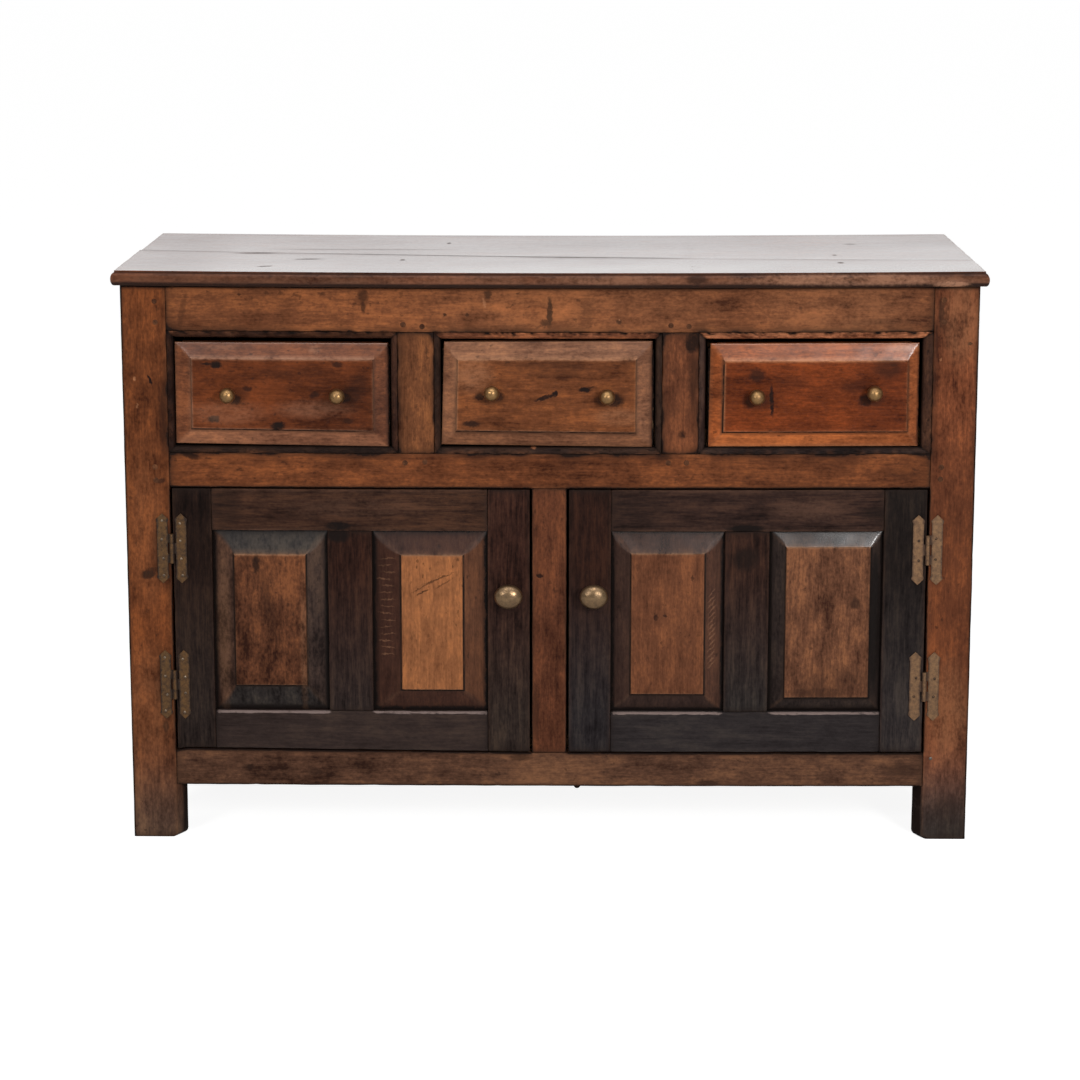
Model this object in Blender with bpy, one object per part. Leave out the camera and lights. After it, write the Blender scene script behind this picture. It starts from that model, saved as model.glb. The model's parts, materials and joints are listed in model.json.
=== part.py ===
"""Joined oak kitchen dresser base: three drawers in a row over a cupboard with two panelled doors.

Metres, +Z up, front towards -Y. The origin is on the floor, under the middle of the object's box.
Every board is a separate solid: rails are tenoned into posts, panels float in grooves, drawers run on
a frame of runners, doors hang on brass H hinges and are held by turning knobs with an iron tongue.
"""

import math

import bmesh
import bpy
from mathutils import Vector

# Overall size
HEIGHT = 0.865
TOP_LENGTH = 1.282
TOP_DEPTH = 0.530
TOP_THICKNESS = 0.022
TOP_SIDE_OVERHANG = 0.0105
TOP_FRONT_OVERHANG = 0.020
TOP_BACK_OVERHANG = 0.010

# Joint between the two top boards, measured back from the front edge: the boards taper
TOP_JOINT_AT_LEFT_END = 0.281
TOP_JOINT_AT_RIGHT_END = 0.156

# Thumbnail edge of the top: a small square fillet over a rounded nose
NOSING_FILLET_HEIGHT = 0.003
NOSING_FILLET_INSET = 0.005
NOSING_STEPS = 6

# Fits
SEAT_GAP = 0.0003
SOCKET_END_GAP = 0.001
GROOVE_END_GAP = 0.001

# Posts and front frame
POST_WIDTH = 0.0665
FRONT_POST_DEPTH = 0.112
BACK_POST_DEPTH = 0.060
FOOT_HEIGHT = 0.083
FOOT_SPUR_WIDTH = 0.013
FOOT_SPUR_SET_BACK = 0.025
RAIL_THICKNESS = 0.032
TOP_RAIL_HEIGHT = 0.068
MIDDLE_RAIL_HEIGHT = 0.052
BOTTOM_RAIL_HEIGHT = 0.052
BOTTOM_RAIL_THICKNESS = 0.046
DRAWER_OPENING_HEIGHT = 0.182
DRAWER_MUNTIN_WIDTH = 0.054
RIGHT_DRAWER_MUNTIN_STRAY = 0.004
CENTRE_MUNTIN_WIDTH = 0.052
CENTRE_MUNTIN_THICKNESS = 0.028

# Mortise and tenon joints
TENON_THICKNESS = 0.010
TENON_SHOULDER = 0.010
RAIL_TENON_LENGTH = 0.040
MUNTIN_TENON_LENGTH = 0.022

# Sides and back
SIDE_RAIL_THICKNESS = 0.028
SIDE_PANEL_THICKNESS = 0.010
GROOVE_DEPTH = 0.008
BACK_BOARD_THICKNESS = 0.012
BACK_REBATE_WIDTH = 0.020

# Cupboard floor
FLOOR_THICKNESS = 0.015
DOOR_STOP_GAP = 0.001

# Moulding planted round each drawer opening
SURROUND_WIDTH = 0.010
SURROUND_DEPTH = 0.022
SURROUND_FALL = 0.006
SURROUND_STEPS = 4
SURROUND_RIGHT_STRIP_WIDTH = {"left": SURROUND_WIDTH, "centre": SURROUND_WIDTH, "right": 0.015}

# Drawers: the right one has shrunk most, so its gaps (left, right) are widest
DRAWER_SIDE_GAPS = {"left": (0.002, 0.002), "centre": (0.002, 0.002), "right": (0.0045, 0.007)}
DRAWER_FOOT_GAP = 0.001
DRAWER_HEAD_GAP = 0.006
DRAWER_FRONT_EDGE_SET_BACK = 0.004
DRAWER_FRONT_BACK_FACE = 0.022
DRAWER_LAP = 0.010
DRAWER_BEVEL_WIDTH = 0.023
DRAWER_BEVEL_RISE = 0.007
DRAWER_FIELD_STEP = 0.0025
DRAWER_SIDE_THICKNESS = 0.010
DRAWER_SIDE_DROP = 0.012
DRAWER_BOTTOM_THICKNESS = 0.008
DRAWER_BOTTOM_RISE = 0.005
DRAWER_ROOM_BEHIND = 0.030

# Knobs set by eye: each one's (across, up) from the middle of its drawer front
DRAWER_KNOB_PLACES = {
    "left": {"left": (-0.0790, 0.0010), "right": (0.0820, 0.0005)},
    "centre": {"left": (-0.0825, 0.0060), "right": (0.0870, 0.0010)},
    "right": {"left": (-0.0832, 0.0005), "right": (0.0888, 0.0055)},
}

# Drawer runners
RUNNER_HEIGHT = 0.040
RUNNER_TENON_LENGTH = 0.007
RUNNER_TENON_HEIGHT = 0.016
BEARER_THICKNESS = 0.030
BEARER_TENON_LENGTH = 0.020
GUIDE_HEIGHT = 0.020
GUIDE_GAP = 0.001

# Doors
DOOR_THICKNESS = 0.026
DOOR_SIDE_GAP = 0.003
DOOR_END_GAP = 0.002
HINGE_STILE_WIDTHS = {"left": 0.058, "right": 0.0635}
LOCK_STILE_WIDTH = 0.063
DOOR_MUNTIN_WIDTH = 0.066
DOOR_TOP_RAIL_HEIGHT = 0.063
DOOR_BOTTOM_RAIL_HEIGHT = 0.062
DOOR_TENON_LENGTH = 0.036
DOOR_TENON_THICKNESS = 0.008

# Fielded door panels, hand planed: each field is its own size (bevel left, right, bottom, top)
PANEL_TONGUE_THICKNESS = 0.006
PANEL_BEVEL_RISE = 0.007
PANEL_FIELD_STEP = 0.0022
PANEL_BEVELS = {
    "left_door_outer_panel": (0.032, 0.033, 0.039, 0.037),
    "left_door_inner_panel": (0.043, 0.037, 0.033, 0.037),
    "right_door_inner_panel": (0.0300, 0.0298, 0.027, 0.034),
    "right_door_outer_panel": (0.0250, 0.0185, 0.022, 0.024),
}

# Brass H hinges
HINGE_LENGTH = 0.106
LEAF_WIDTH = 0.016
LEAF_CUSP_WIDTH = 0.019
LEAF_TIP_HEIGHT = 0.009
LEAF_NECK_HEIGHT = 0.005
LEAF_THICKNESS = 0.002
LEAF_FROM_AXIS = 0.0045
BARREL_RADIUS = 0.0036
BARREL_LENGTH = 0.044
DOOR_KNUCKLE_LENGTH = 0.016
KNUCKLE_GAP = 0.0004
PIN_RADIUS = 0.0016
PIN_CLEARANCE = 0.0003
UPPER_HINGE_BELOW_DOOR_TOP = 0.091
LOWER_HINGE_ABOVE_DOOR_FOOT = 0.102
HINGE_SIDES = 16

# Drawer knobs: a turned ball on a waisted neck
DRAWER_KNOB_RADIUS = 0.0118
DRAWER_KNOB_NECK_RADIUS = 0.0042
DRAWER_KNOB_NECK_LENGTH = 0.0060
DRAWER_KNOB_ROSE_RADIUS = 0.0065
DRAWER_KNOB_ROSE_THICKNESS = 0.0015
DRAWER_KNOB_SHANK_RADIUS = 0.0032
DRAWER_KNOB_SHANK_LENGTH = 0.016

# Door knobs: oval, turning a spindle with an iron tongue behind the stile
DOOR_KNOB_FROM_LOCK_EDGE = {"left": 0.0315, "right": 0.0375}
DOOR_KNOB_HALF_WIDTH = 0.0212
DOOR_KNOB_HALF_HEIGHT = 0.0184
DOOR_KNOB_HALF_DEPTH = 0.0120
DOOR_KNOB_NECK_RADIUS = 0.0075
DOOR_KNOB_NECK_LENGTH = 0.0110
DOOR_KNOB_ROSE_RADIUS = 0.0120
DOOR_KNOB_ROSE_THICKNESS = 0.0020
DOOR_KNOB_ABOVE_DOOR_FOOT = 0.245
SPINDLE_RADIUS = 0.0040
SPINDLE_CLEARANCE = 0.0005
TONGUE_WIDTH = 0.014
TONGUE_THICKNESS = 0.003
TONGUE_RUNNING_GAP = 0.001
TONGUE_CATCH = 0.012

KNOB_SIDES = 20
KNOB_ARC_STEPS = 6

# Places worked out from the sizes above
X, Y, Z = range(3)
DRAWER_KNOB_PROJECTION = DRAWER_KNOB_ROSE_THICKNESS + DRAWER_KNOB_NECK_LENGTH + 2 * DRAWER_KNOB_RADIUS
DOOR_KNOB_PROJECTION = DOOR_KNOB_ROSE_THICKNESS + DOOR_KNOB_NECK_LENGTH + 2 * DOOR_KNOB_HALF_DEPTH
DRAWER_FIELD_PROUD = DRAWER_BEVEL_RISE + DRAWER_FIELD_STEP - DRAWER_FRONT_EDGE_SET_BACK
FRONT_REACH = SEAT_GAP + max(
    TOP_FRONT_OVERHANG, DOOR_KNOB_PROJECTION, DRAWER_FIELD_PROUD + DRAWER_KNOB_PROJECTION
)
FRONT = (FRONT_REACH + TOP_FRONT_OVERHANG - TOP_DEPTH) / 2
BACK = FRONT + TOP_DEPTH - TOP_FRONT_OVERHANG - TOP_BACK_OVERHANG
OUTER = TOP_LENGTH / 2 - TOP_SIDE_OVERHANG
INNER = OUTER - POST_WIDTH
FRAME_TOP = HEIGHT - TOP_THICKNESS - SEAT_GAP
TOP_RAIL_BOTTOM = HEIGHT - TOP_THICKNESS - TOP_RAIL_HEIGHT
MIDDLE_RAIL_TOP = TOP_RAIL_BOTTOM - DRAWER_OPENING_HEIGHT
MIDDLE_RAIL_BOTTOM = MIDDLE_RAIL_TOP - MIDDLE_RAIL_HEIGHT
BOTTOM_RAIL_TOP = FOOT_HEIGHT + BOTTOM_RAIL_HEIGHT
SIDE_FRONT = FRONT + FRONT_POST_DEPTH
SIDE_BACK = BACK - BACK_POST_DEPTH
BACK_BOARD_FRONT = BACK - BACK_BOARD_THICKNESS
CUPBOARD_FRONT = FRONT + max(DOOR_THICKNESS, CENTRE_MUNTIN_THICKNESS)
DRAWER_OPENING_WIDTH = (2 * INNER - 2 * DRAWER_MUNTIN_WIDTH) / 3
LEFT_MUNTIN_LEFT = -INNER + DRAWER_OPENING_WIDTH
LEFT_MUNTIN_RIGHT = LEFT_MUNTIN_LEFT + DRAWER_MUNTIN_WIDTH
RIGHT_MUNTIN_RIGHT = INNER - DRAWER_OPENING_WIDTH - RIGHT_DRAWER_MUNTIN_STRAY
RIGHT_MUNTIN_LEFT = RIGHT_MUNTIN_RIGHT - DRAWER_MUNTIN_WIDTH
DRAWER_OPENINGS = {
    "left": (-INNER, LEFT_MUNTIN_LEFT),
    "centre": (LEFT_MUNTIN_RIGHT, RIGHT_MUNTIN_LEFT),
    "right": (RIGHT_MUNTIN_RIGHT, INNER),
}
DRAWER_FOOT = MIDDLE_RAIL_TOP + SURROUND_WIDTH + DRAWER_FOOT_GAP
DRAWER_HEAD = TOP_RAIL_BOTTOM - SURROUND_WIDTH - DRAWER_HEAD_GAP
DRAWER_BACK = BACK_BOARD_FRONT - DRAWER_ROOM_BEHIND
RUNNER_TOP = DRAWER_FOOT - SEAT_GAP
DOOR_FOOT = BOTTOM_RAIL_TOP + DOOR_END_GAP
DOOR_HEAD = MIDDLE_RAIL_BOTTOM - DOOR_END_GAP
HINGE_AXIS_X = INNER - DOOR_SIDE_GAP / 2
HINGE_AXIS_Y = FRONT - SEAT_GAP - BARREL_RADIUS


# Small helpers for spans and blocks: a block is its X, Y and Z spans


def span(a, b):
    return (min(a, b), max(a, b))


def centred(at, width):
    return (at - width / 2, at + width / 2)


def inset(pair, by):
    return (pair[0] + by, pair[1] - by)


def grown(block, gaps):
    return [inset(pair, -gap) for pair, gap in zip(block, gaps)]


def rectangle(block, axis, at):
    """The four corners of a block's cross section at a place along one axis."""
    across, up = [i for i in range(3) if i != axis]
    points = []
    for a, b in ((0, 0), (1, 0), (1, 1), (0, 1)):
        point = [0.0, 0.0, 0.0]
        point[axis] = at
        point[across] = block[across][a]
        point[up] = block[up][b]
        points.append(point)
    return points


def ellipse(centre_x, y, centre_z, half_width, half_height, sides):
    """A closed ring of points in an upright plane, seen from the front."""
    turns = [2 * math.pi * i / sides for i in range(sides)]
    return [(centre_x + half_width * math.cos(t), y, centre_z + half_height * math.sin(t)) for t in turns]


def circle(centre_x, centre_y, z, radius, sides):
    """A closed ring of points in a level plane."""
    turns = [2 * math.pi * i / sides for i in range(sides)]
    return [(centre_x + radius * math.cos(t), centre_y + radius * math.sin(t), z) for t in turns]


# Shapes


def loft(sections, ring=False):
    """Skins equal closed sections in order and caps both ends, or joins the last to the first."""
    shape = bmesh.new()
    loops = [[shape.verts.new(point) for point in section] for section in sections]
    pairs = list(zip(loops, loops[1:]))
    if ring:
        pairs.append((loops[-1], loops[0]))
    for near, far in pairs:
        for i in range(len(near)):
            j = (i + 1) % len(near)
            shape.faces.new((near[i], near[j], far[j], far[i]))
    if not ring:
        shape.faces.new(loops[0])
        shape.faces.new(loops[-1])
    bmesh.ops.recalc_face_normals(shape, faces=shape.faces)
    return shape


def solid_block(block):
    return loft([rectangle(block, Z, at) for at in block[Z]])


def tenons(body, along, through, length, thickness, shoulder=TENON_SHOULDER):
    """The tenon blocks at the two ends of a board that runs along one axis."""
    wide = 3 - along - through
    ends = []
    for at, out in zip(body[along], (-length, length)):
        block = [None, None, None]
        block[along] = span(at, at + out)
        block[through] = centred(sum(body[through]) / 2, thickness)
        block[wide] = inset(body[wide], shoulder)
        ends.append(block)
    return ends


def tenoned_board(body, along, ends):
    """A board with a tenon at each end, skinned from one tenon's end to the other's."""
    near, far = ends
    sections = [
        rectangle(near, along, near[along][0]),
        rectangle(near, along, near[along][1]),
        rectangle(body, along, body[along][0]),
        rectangle(body, along, body[along][1]),
        rectangle(far, along, far[along][0]),
        rectangle(far, along, far[along][1]),
    ]
    return loft(sections)


def socket(tenon, along):
    """The mortise for a tenon: looser at the end than at the cheeks."""
    gaps = [SEAT_GAP] * 3
    gaps[along] = SOCKET_END_GAP
    return solid_block(grown(tenon, gaps))


def groove(plate, through):
    """The groove for a panel's edge, cut by a slightly larger plate."""
    gaps = [GROOVE_END_GAP] * 3
    gaps[through] = SEAT_GAP
    return solid_block(grown(plate, gaps))


# Objects


def paint(name, colour, roughness, metallic=0.0):
    material = bpy.data.materials.new(name)
    material.use_nodes = True
    shader = material.node_tree.nodes["Principled BSDF"]
    shader.inputs["Base Color"].default_value = (*colour, 1.0)
    shader.inputs["Roughness"].default_value = roughness
    shader.inputs["Metallic"].default_value = metallic
    material.diffuse_color = (*colour, 1.0)
    return material


def add_body(name, place=(0.0, 0.0, 0.0)):
    """An empty on a moving group's axis: its pieces are parented to it."""
    body = bpy.data.objects.new(name, None)
    body.location = place
    bpy.context.scene.collection.objects.link(body)
    return body


def add_piece(name, shape, material, body, smooth=False):
    """Makes an object from a shape in the dresser's frame, with its origin on its body's axis."""
    bmesh.ops.translate(shape, verts=shape.verts, vec=-Vector(body.location))
    mesh = bpy.data.meshes.new(name)
    shape.to_mesh(mesh)
    shape.free()
    mesh.materials.append(material)
    if smooth:
        mesh.shade_smooth()
        mesh.set_sharp_from_angle(angle=math.radians(35))
    piece = bpy.data.objects.new(name, mesh)
    piece.parent = body
    bpy.context.scene.collection.objects.link(piece)
    return piece


def combine(piece, operation, shapes):
    """Cuts shapes from a piece, or joins them to it, with live Boolean modifiers."""
    for shape in shapes:
        name = f"{piece.name}_{operation.lower()}_{len(piece.modifiers)}"
        helper = add_piece(name, shape, piece.data.materials[0], piece.parent)
        helper.hide_render = True
        helper.display_type = "WIRE"
        step = piece.modifiers.new(name, "BOOLEAN")
        step.operation = operation
        step.object = helper


def cut(piece, shapes):
    combine(piece, "DIFFERENCE", shapes)


def join(piece, shapes):
    combine(piece, "UNION", shapes)


# Top


def nosing_levels():
    """(inset, z) pairs up the moulded edge: a rounded nose under a square fillet."""
    nose_top = HEIGHT - NOSING_FILLET_HEIGHT
    nose_height = nose_top - (HEIGHT - TOP_THICKNESS)
    levels = []
    for step in range(NOSING_STEPS + 1):
        turn = math.pi * (step / NOSING_STEPS - 0.5)
        out = NOSING_FILLET_INSET * (1 - math.cos(turn))
        levels.append((out, nose_top - nose_height * (1 - math.sin(turn)) / 2))
    levels.append((NOSING_FILLET_INSET, HEIGHT))
    return levels


def top_outline(edge_inset, z, front_board):
    """A top board's outline at one level: its moulded edges move in, its joint edge doesn't."""
    half = TOP_LENGTH / 2 - edge_inset
    front = FRONT - TOP_FRONT_OVERHANG
    slope = (TOP_JOINT_AT_RIGHT_END - TOP_JOINT_AT_LEFT_END) / TOP_LENGTH
    middle_joint = front + (TOP_JOINT_AT_LEFT_END + TOP_JOINT_AT_RIGHT_END) / 2
    joint = [middle_joint + slope * x for x in (-half, half)]
    if front_board:
        near = front + edge_inset
        return [(-half, near, z), (half, near, z), (half, joint[1], z), (-half, joint[0], z)]
    far = front + TOP_DEPTH
    clear = [y + SEAT_GAP for y in joint]
    return [(-half, clear[0], z), (half, clear[1], z), (half, far, z), (-half, far, z)]


def make_top(carcass, oak):
    for name, front_board in (("top_front_board", True), ("top_back_board", False)):
        sections = [top_outline(edge_inset, z, front_board) for edge_inset, z in nosing_levels()]
        add_piece(name, loft(sections), oak, carcass)


# Front frame


def front_frame_boards():
    """The bodies of the rails and muntins between the front posts, with the axis that each runs along."""
    across = inset((-INNER, INNER), SEAT_GAP)
    thick = (FRONT, FRONT + RAIL_THICKNESS)
    drawer_band = inset((MIDDLE_RAIL_TOP, TOP_RAIL_BOTTOM), SEAT_GAP)
    door_band = inset((BOTTOM_RAIL_TOP, MIDDLE_RAIL_BOTTOM), SEAT_GAP)
    return {
        "front_top_rail": ([across, thick, (TOP_RAIL_BOTTOM, FRAME_TOP)], X),
        "front_middle_rail": ([across, thick, (MIDDLE_RAIL_BOTTOM, MIDDLE_RAIL_TOP)], X),
        "front_bottom_rail": (
            [across, (FRONT, FRONT + BOTTOM_RAIL_THICKNESS), (FOOT_HEIGHT, BOTTOM_RAIL_TOP)],
            X,
        ),
        "left_drawer_muntin": ([(LEFT_MUNTIN_LEFT, LEFT_MUNTIN_RIGHT), thick, drawer_band], Z),
        "right_drawer_muntin": ([(RIGHT_MUNTIN_LEFT, RIGHT_MUNTIN_RIGHT), thick, drawer_band], Z),
        "centre_muntin": (
            [centred(0.0, CENTRE_MUNTIN_WIDTH), (FRONT, FRONT + CENTRE_MUNTIN_THICKNESS), door_band],
            Z,
        ),
    }


def front_frame_tenons(boards):
    """The two tenons of each front rail and muntin."""
    ends = {}
    for name, (body, along) in boards.items():
        length = RAIL_TENON_LENGTH if along == X else MUNTIN_TENON_LENGTH
        ends[name] = tenons(body, along, Y, length, TENON_THICKNESS)
    return ends


def make_front_frame(carcass, oak, runner_ends):
    boards = front_frame_boards()
    ends = front_frame_tenons(boards)
    pieces = {}
    for name, (body, along) in boards.items():
        pieces[name] = add_piece(name, tenoned_board(body, along, ends[name]), oak, carcass)
    for name in ("left_drawer_muntin", "right_drawer_muntin"):
        cut(pieces["front_middle_rail"], [socket(ends[name][0], Z)])
        cut(pieces["front_top_rail"], [socket(ends[name][1], Z)])
    cut(pieces["front_bottom_rail"], [socket(ends["centre_muntin"][0], Z)])
    cut(pieces["front_middle_rail"], [socket(ends["centre_muntin"][1], Z)])
    cut(pieces["front_middle_rail"], [socket(end, Y) for end in runner_ends])
    return ends


# Sides


def side_rail_boards(side):
    """The top and bottom rails of one side, set flush with the outside of the posts."""
    thick = span(side * OUTER, side * (OUTER - SIDE_RAIL_THICKNESS))
    along = inset((SIDE_FRONT, SIDE_BACK), SEAT_GAP)
    return {
        "side_top_rail": [thick, along, (TOP_RAIL_BOTTOM, FRAME_TOP)],
        "side_bottom_rail": [thick, along, (FOOT_HEIGHT, BOTTOM_RAIL_TOP)],
    }


def side_panel_block(side):
    """A side panel with its edges in the grooves of the posts and rails."""
    centre = side * (OUTER - SIDE_RAIL_THICKNESS / 2)
    opening = [
        centred(centre, SIDE_PANEL_THICKNESS),
        (SIDE_FRONT, SIDE_BACK),
        (BOTTOM_RAIL_TOP, TOP_RAIL_BOTTOM),
    ]
    return grown(opening, (0.0, GROOVE_DEPTH, GROOVE_DEPTH))


def make_side(carcass, oak, hand, side):
    """Makes one side and returns what its posts have to be cut for."""
    panel = side_panel_block(side)
    add_piece(f"{hand}_side_panel", solid_block(panel), oak, carcass)
    post_cuts = {"front": [groove(panel, X)], "back": [groove(panel, X)]}
    for name, body in side_rail_boards(side).items():
        ends = tenons(body, Y, X, RAIL_TENON_LENGTH, TENON_THICKNESS)
        rail = add_piece(f"{hand}_{name}", tenoned_board(body, Y, ends), oak, carcass)
        cut(rail, [groove(panel, X)])
        post_cuts["front"].append(socket(ends[0], Y))
        post_cuts["back"].append(socket(ends[1], Y))
    return post_cuts


# Posts


def foot_spur(side):
    """Where a front foot swells inwards under the bottom rail: out from the front arris, then in again."""
    inner, reach = side * INNER, side * (INNER - FOOT_SPUR_WIDTH)
    slope = FOOT_SPUR_SET_BACK / FOOT_SPUR_WIDTH
    rooted = side * POST_WIDTH / 4
    back = SIDE_FRONT - FOOT_SPUR_SET_BACK / 2
    outline = [
        (inner + side * SEAT_GAP, FRONT + SOCKET_END_GAP - slope * SEAT_GAP),
        (reach, FRONT + FOOT_SPUR_SET_BACK + SOCKET_END_GAP),
        (inner + side * SEAT_GAP, back),
        (inner + rooted, back),
        (inner + rooted, FRONT + FOOT_SPUR_SET_BACK),
    ]
    return loft([[(x, y, z) for x, y in outline] for z in (0.0, FOOT_HEIGHT - SEAT_GAP)])


def make_posts(carcass, oak, hand, side, front_ends, bearer_end, side_cuts):
    """The front and back posts of one side: the foot, the leg and the corner of the case in one."""
    wide = span(side * INNER, side * OUTER)
    front_post = [wide, (FRONT, SIDE_FRONT), (0.0, FRAME_TOP)]
    back_post = [wide, (SIDE_BACK, BACK), (0.0, FRAME_TOP)]
    front = add_piece(f"front_{hand}_post", solid_block(front_post), oak, carcass)
    back = add_piece(f"back_{hand}_post", solid_block(back_post), oak, carcass)
    join(front, [foot_spur(side)])
    end = 0 if side < 0 else 1
    for name in ("front_top_rail", "front_middle_rail", "front_bottom_rail"):
        cut(front, [socket(front_ends[name][end], X)])
    cut(front, side_cuts["front"])
    cut(back, side_cuts["back"])
    cut(back, [socket(bearer_end, X), groove(back_board_block(), Y)])


# Back and floor


def back_board_block():
    """The boarded back, let into rebates in the back posts."""
    half = INNER + BACK_REBATE_WIDTH
    return [(-half, half), (BACK_BOARD_FRONT, BACK + GROOVE_END_GAP), (FOOT_HEIGHT, FRAME_TOP)]


def make_back(carcass, oak):
    wide, deep, high = back_board_block()
    boards = [wide, (deep[0], BACK), high]
    add_piece("back_boards", solid_block(boards), oak, carcass)


def floor_outline(z):
    """The cupboard floor's outline, notched round the four posts."""
    between_posts = INNER - SEAT_GAP
    to_panel = OUTER - (SIDE_RAIL_THICKNESS + SIDE_PANEL_THICKNESS) / 2 - SEAT_GAP
    front = CUPBOARD_FRONT + DOOR_STOP_GAP
    behind_front_post = SIDE_FRONT + SEAT_GAP
    before_back_post = SIDE_BACK - SEAT_GAP
    back = BACK_BOARD_FRONT - SEAT_GAP
    right = [
        (between_posts, front),
        (between_posts, behind_front_post),
        (to_panel, behind_front_post),
        (to_panel, before_back_post),
        (between_posts, before_back_post),
        (between_posts, back),
    ]
    left = [(-x, y) for x, y in reversed(right)]
    return [(x, y, z) for x, y in right + left]


def make_floor(carcass, oak):
    underside = BOTTOM_RAIL_TOP + SEAT_GAP
    sections = [floor_outline(z) for z in (underside, underside + FLOOR_THICKNESS)]
    add_piece("cupboard_floor", loft(sections), oak, carcass)


# Drawer runners


def bearer_block():
    """The cross bearer that carries the back ends of the runners."""
    across = inset((-INNER, INNER), SEAT_GAP)
    back = BACK_BOARD_FRONT - SEAT_GAP
    return [across, (back - BEARER_THICKNESS, back), (RUNNER_TOP - RUNNER_HEIGHT, RUNNER_TOP)]


def runner_spans():
    """(runner, guide) spans across the case: one at each side and one under each muntin."""
    bearing = DRAWER_SIDE_THICKNESS
    edge = INNER - SEAT_GAP
    left, centre, right = [drawer_face(hand)[X] for hand in DRAWER_OPENINGS]
    spans = [((-edge, left[0] + bearing), (-edge, left[0] - GUIDE_GAP))]
    for between in ((left[1], centre[0]), (centre[1], right[0])):
        spans.append((inset(between, -bearing), inset(between, GUIDE_GAP)))
    spans.append(((right[1] - bearing, edge), (right[1] + GUIDE_GAP, edge)))
    return spans


def runner_tenons():
    """The stub tenons that let the runners into the back of the middle rail."""
    behind_rail = FRONT + RAIL_THICKNESS + SEAT_GAP
    high = centred((RUNNER_TOP - RUNNER_HEIGHT + MIDDLE_RAIL_TOP) / 2, RUNNER_TENON_HEIGHT)
    deep = (behind_rail - RUNNER_TENON_LENGTH, behind_rail)
    return [[inset(runner, TENON_SHOULDER / 2), deep, high] for runner, _ in runner_spans()]


def make_runners(carcass, oak):
    """One frame of four runners with their guides, standing on a tenoned bearer at the back."""
    bearer = bearer_block()
    bearer_ends = tenons(bearer, X, Y, BEARER_TENON_LENGTH, TENON_THICKNESS)
    frame = add_piece("drawer_runner_frame", tenoned_board(bearer, X, bearer_ends), oak, carcass)
    into_bearer = bearer[Y][0] + BEARER_THICKNESS / 2
    for (runner, guide), tenon in zip(runner_spans(), runner_tenons()):
        behind_rail = tenon[Y][1]
        deep = (behind_rail, into_bearer)
        bar = [runner, deep, (RUNNER_TOP - RUNNER_HEIGHT, RUNNER_TOP)]
        strip = [guide, deep, (RUNNER_TOP - RUNNER_HEIGHT / 2, RUNNER_TOP + GUIDE_HEIGHT)]
        stub = [tenon[X], (tenon[Y][0], behind_rail + RUNNER_TENON_LENGTH), tenon[Z]]
        join(frame, [solid_block(bar), solid_block(strip), solid_block(stub)])
    return bearer_ends


# Moulding round the drawer openings


def surround_profile():
    """(in from the opening's edge, y) points: flat behind, an ovolo falling inwards in front."""
    back = FRONT + SURROUND_DEPTH
    points = [(SURROUND_WIDTH, back), (SEAT_GAP, back)]
    for step in range(SURROUND_STEPS + 1):
        turn = math.pi / 2 * step / SURROUND_STEPS
        along = SEAT_GAP + (SURROUND_WIDTH - SEAT_GAP) * math.sin(turn)
        points.append((along, FRONT + SURROUND_FALL * (1 - math.cos(turn))))
    return points


def make_surround(carcass, oak, hand):
    """A mitred frame in the opening: the profile stands at each corner, drawn in both ways."""
    left, right = DRAWER_OPENINGS[hand]
    stretch = SURROUND_RIGHT_STRIP_WIDTH[hand] / SURROUND_WIDTH
    sections = []
    for at_right, upper in ((False, False), (True, False), (True, True), (False, True)):
        section = []
        for into, y in surround_profile():
            x = right - into * stretch if at_right else left + into
            z = TOP_RAIL_BOTTOM - into if upper else MIDDLE_RAIL_TOP + into
            section.append((x, y, z))
        sections.append(section)
    add_piece(f"{hand}_drawer_surround", loft(sections, ring=True), oak, carcass)


# Drawers


def drawer_face(hand):
    """The outline of a drawer front inside its moulding."""
    left, right = DRAWER_OPENINGS[hand]
    left_gap, right_gap = DRAWER_SIDE_GAPS[hand]
    wide = (left + SURROUND_WIDTH + left_gap, right - SURROUND_RIGHT_STRIP_WIDTH[hand] - right_gap)
    return [wide, None, (DRAWER_FOOT, DRAWER_HEAD)]


def drawer_front_shape(face):
    """Rectangles stacked from the back: edge, planed bevel, step and raised field."""
    field = [inset(face[X], DRAWER_BEVEL_WIDTH), None, inset(face[Z], DRAWER_BEVEL_WIDTH)]
    edge = FRONT + DRAWER_FRONT_EDGE_SET_BACK
    bevel_top = edge - DRAWER_BEVEL_RISE
    levels = [(face, FRONT + DRAWER_FRONT_BACK_FACE), (face, edge), (field, bevel_top)]
    levels.append((field, bevel_top - DRAWER_FIELD_STEP))
    return loft([rectangle(block, Y, at) for block, at in levels])


def drawer_laps(face):
    """The rebates in the back of a drawer front's ends, which the drawer's sides lap into."""
    back = FRONT + DRAWER_FRONT_BACK_FACE
    deep = (back - DRAWER_LAP, back + DRAWER_LAP)
    high = inset(face[Z], -DRAWER_LAP)
    reach = DRAWER_SIDE_THICKNESS + SEAT_GAP
    laps = []
    for end, inwards in zip(face[X], (1, -1)):
        laps.append([span(end - inwards * DRAWER_LAP, end + inwards * reach), deep, high])
    return [solid_block(lap) for lap in laps]


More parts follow.
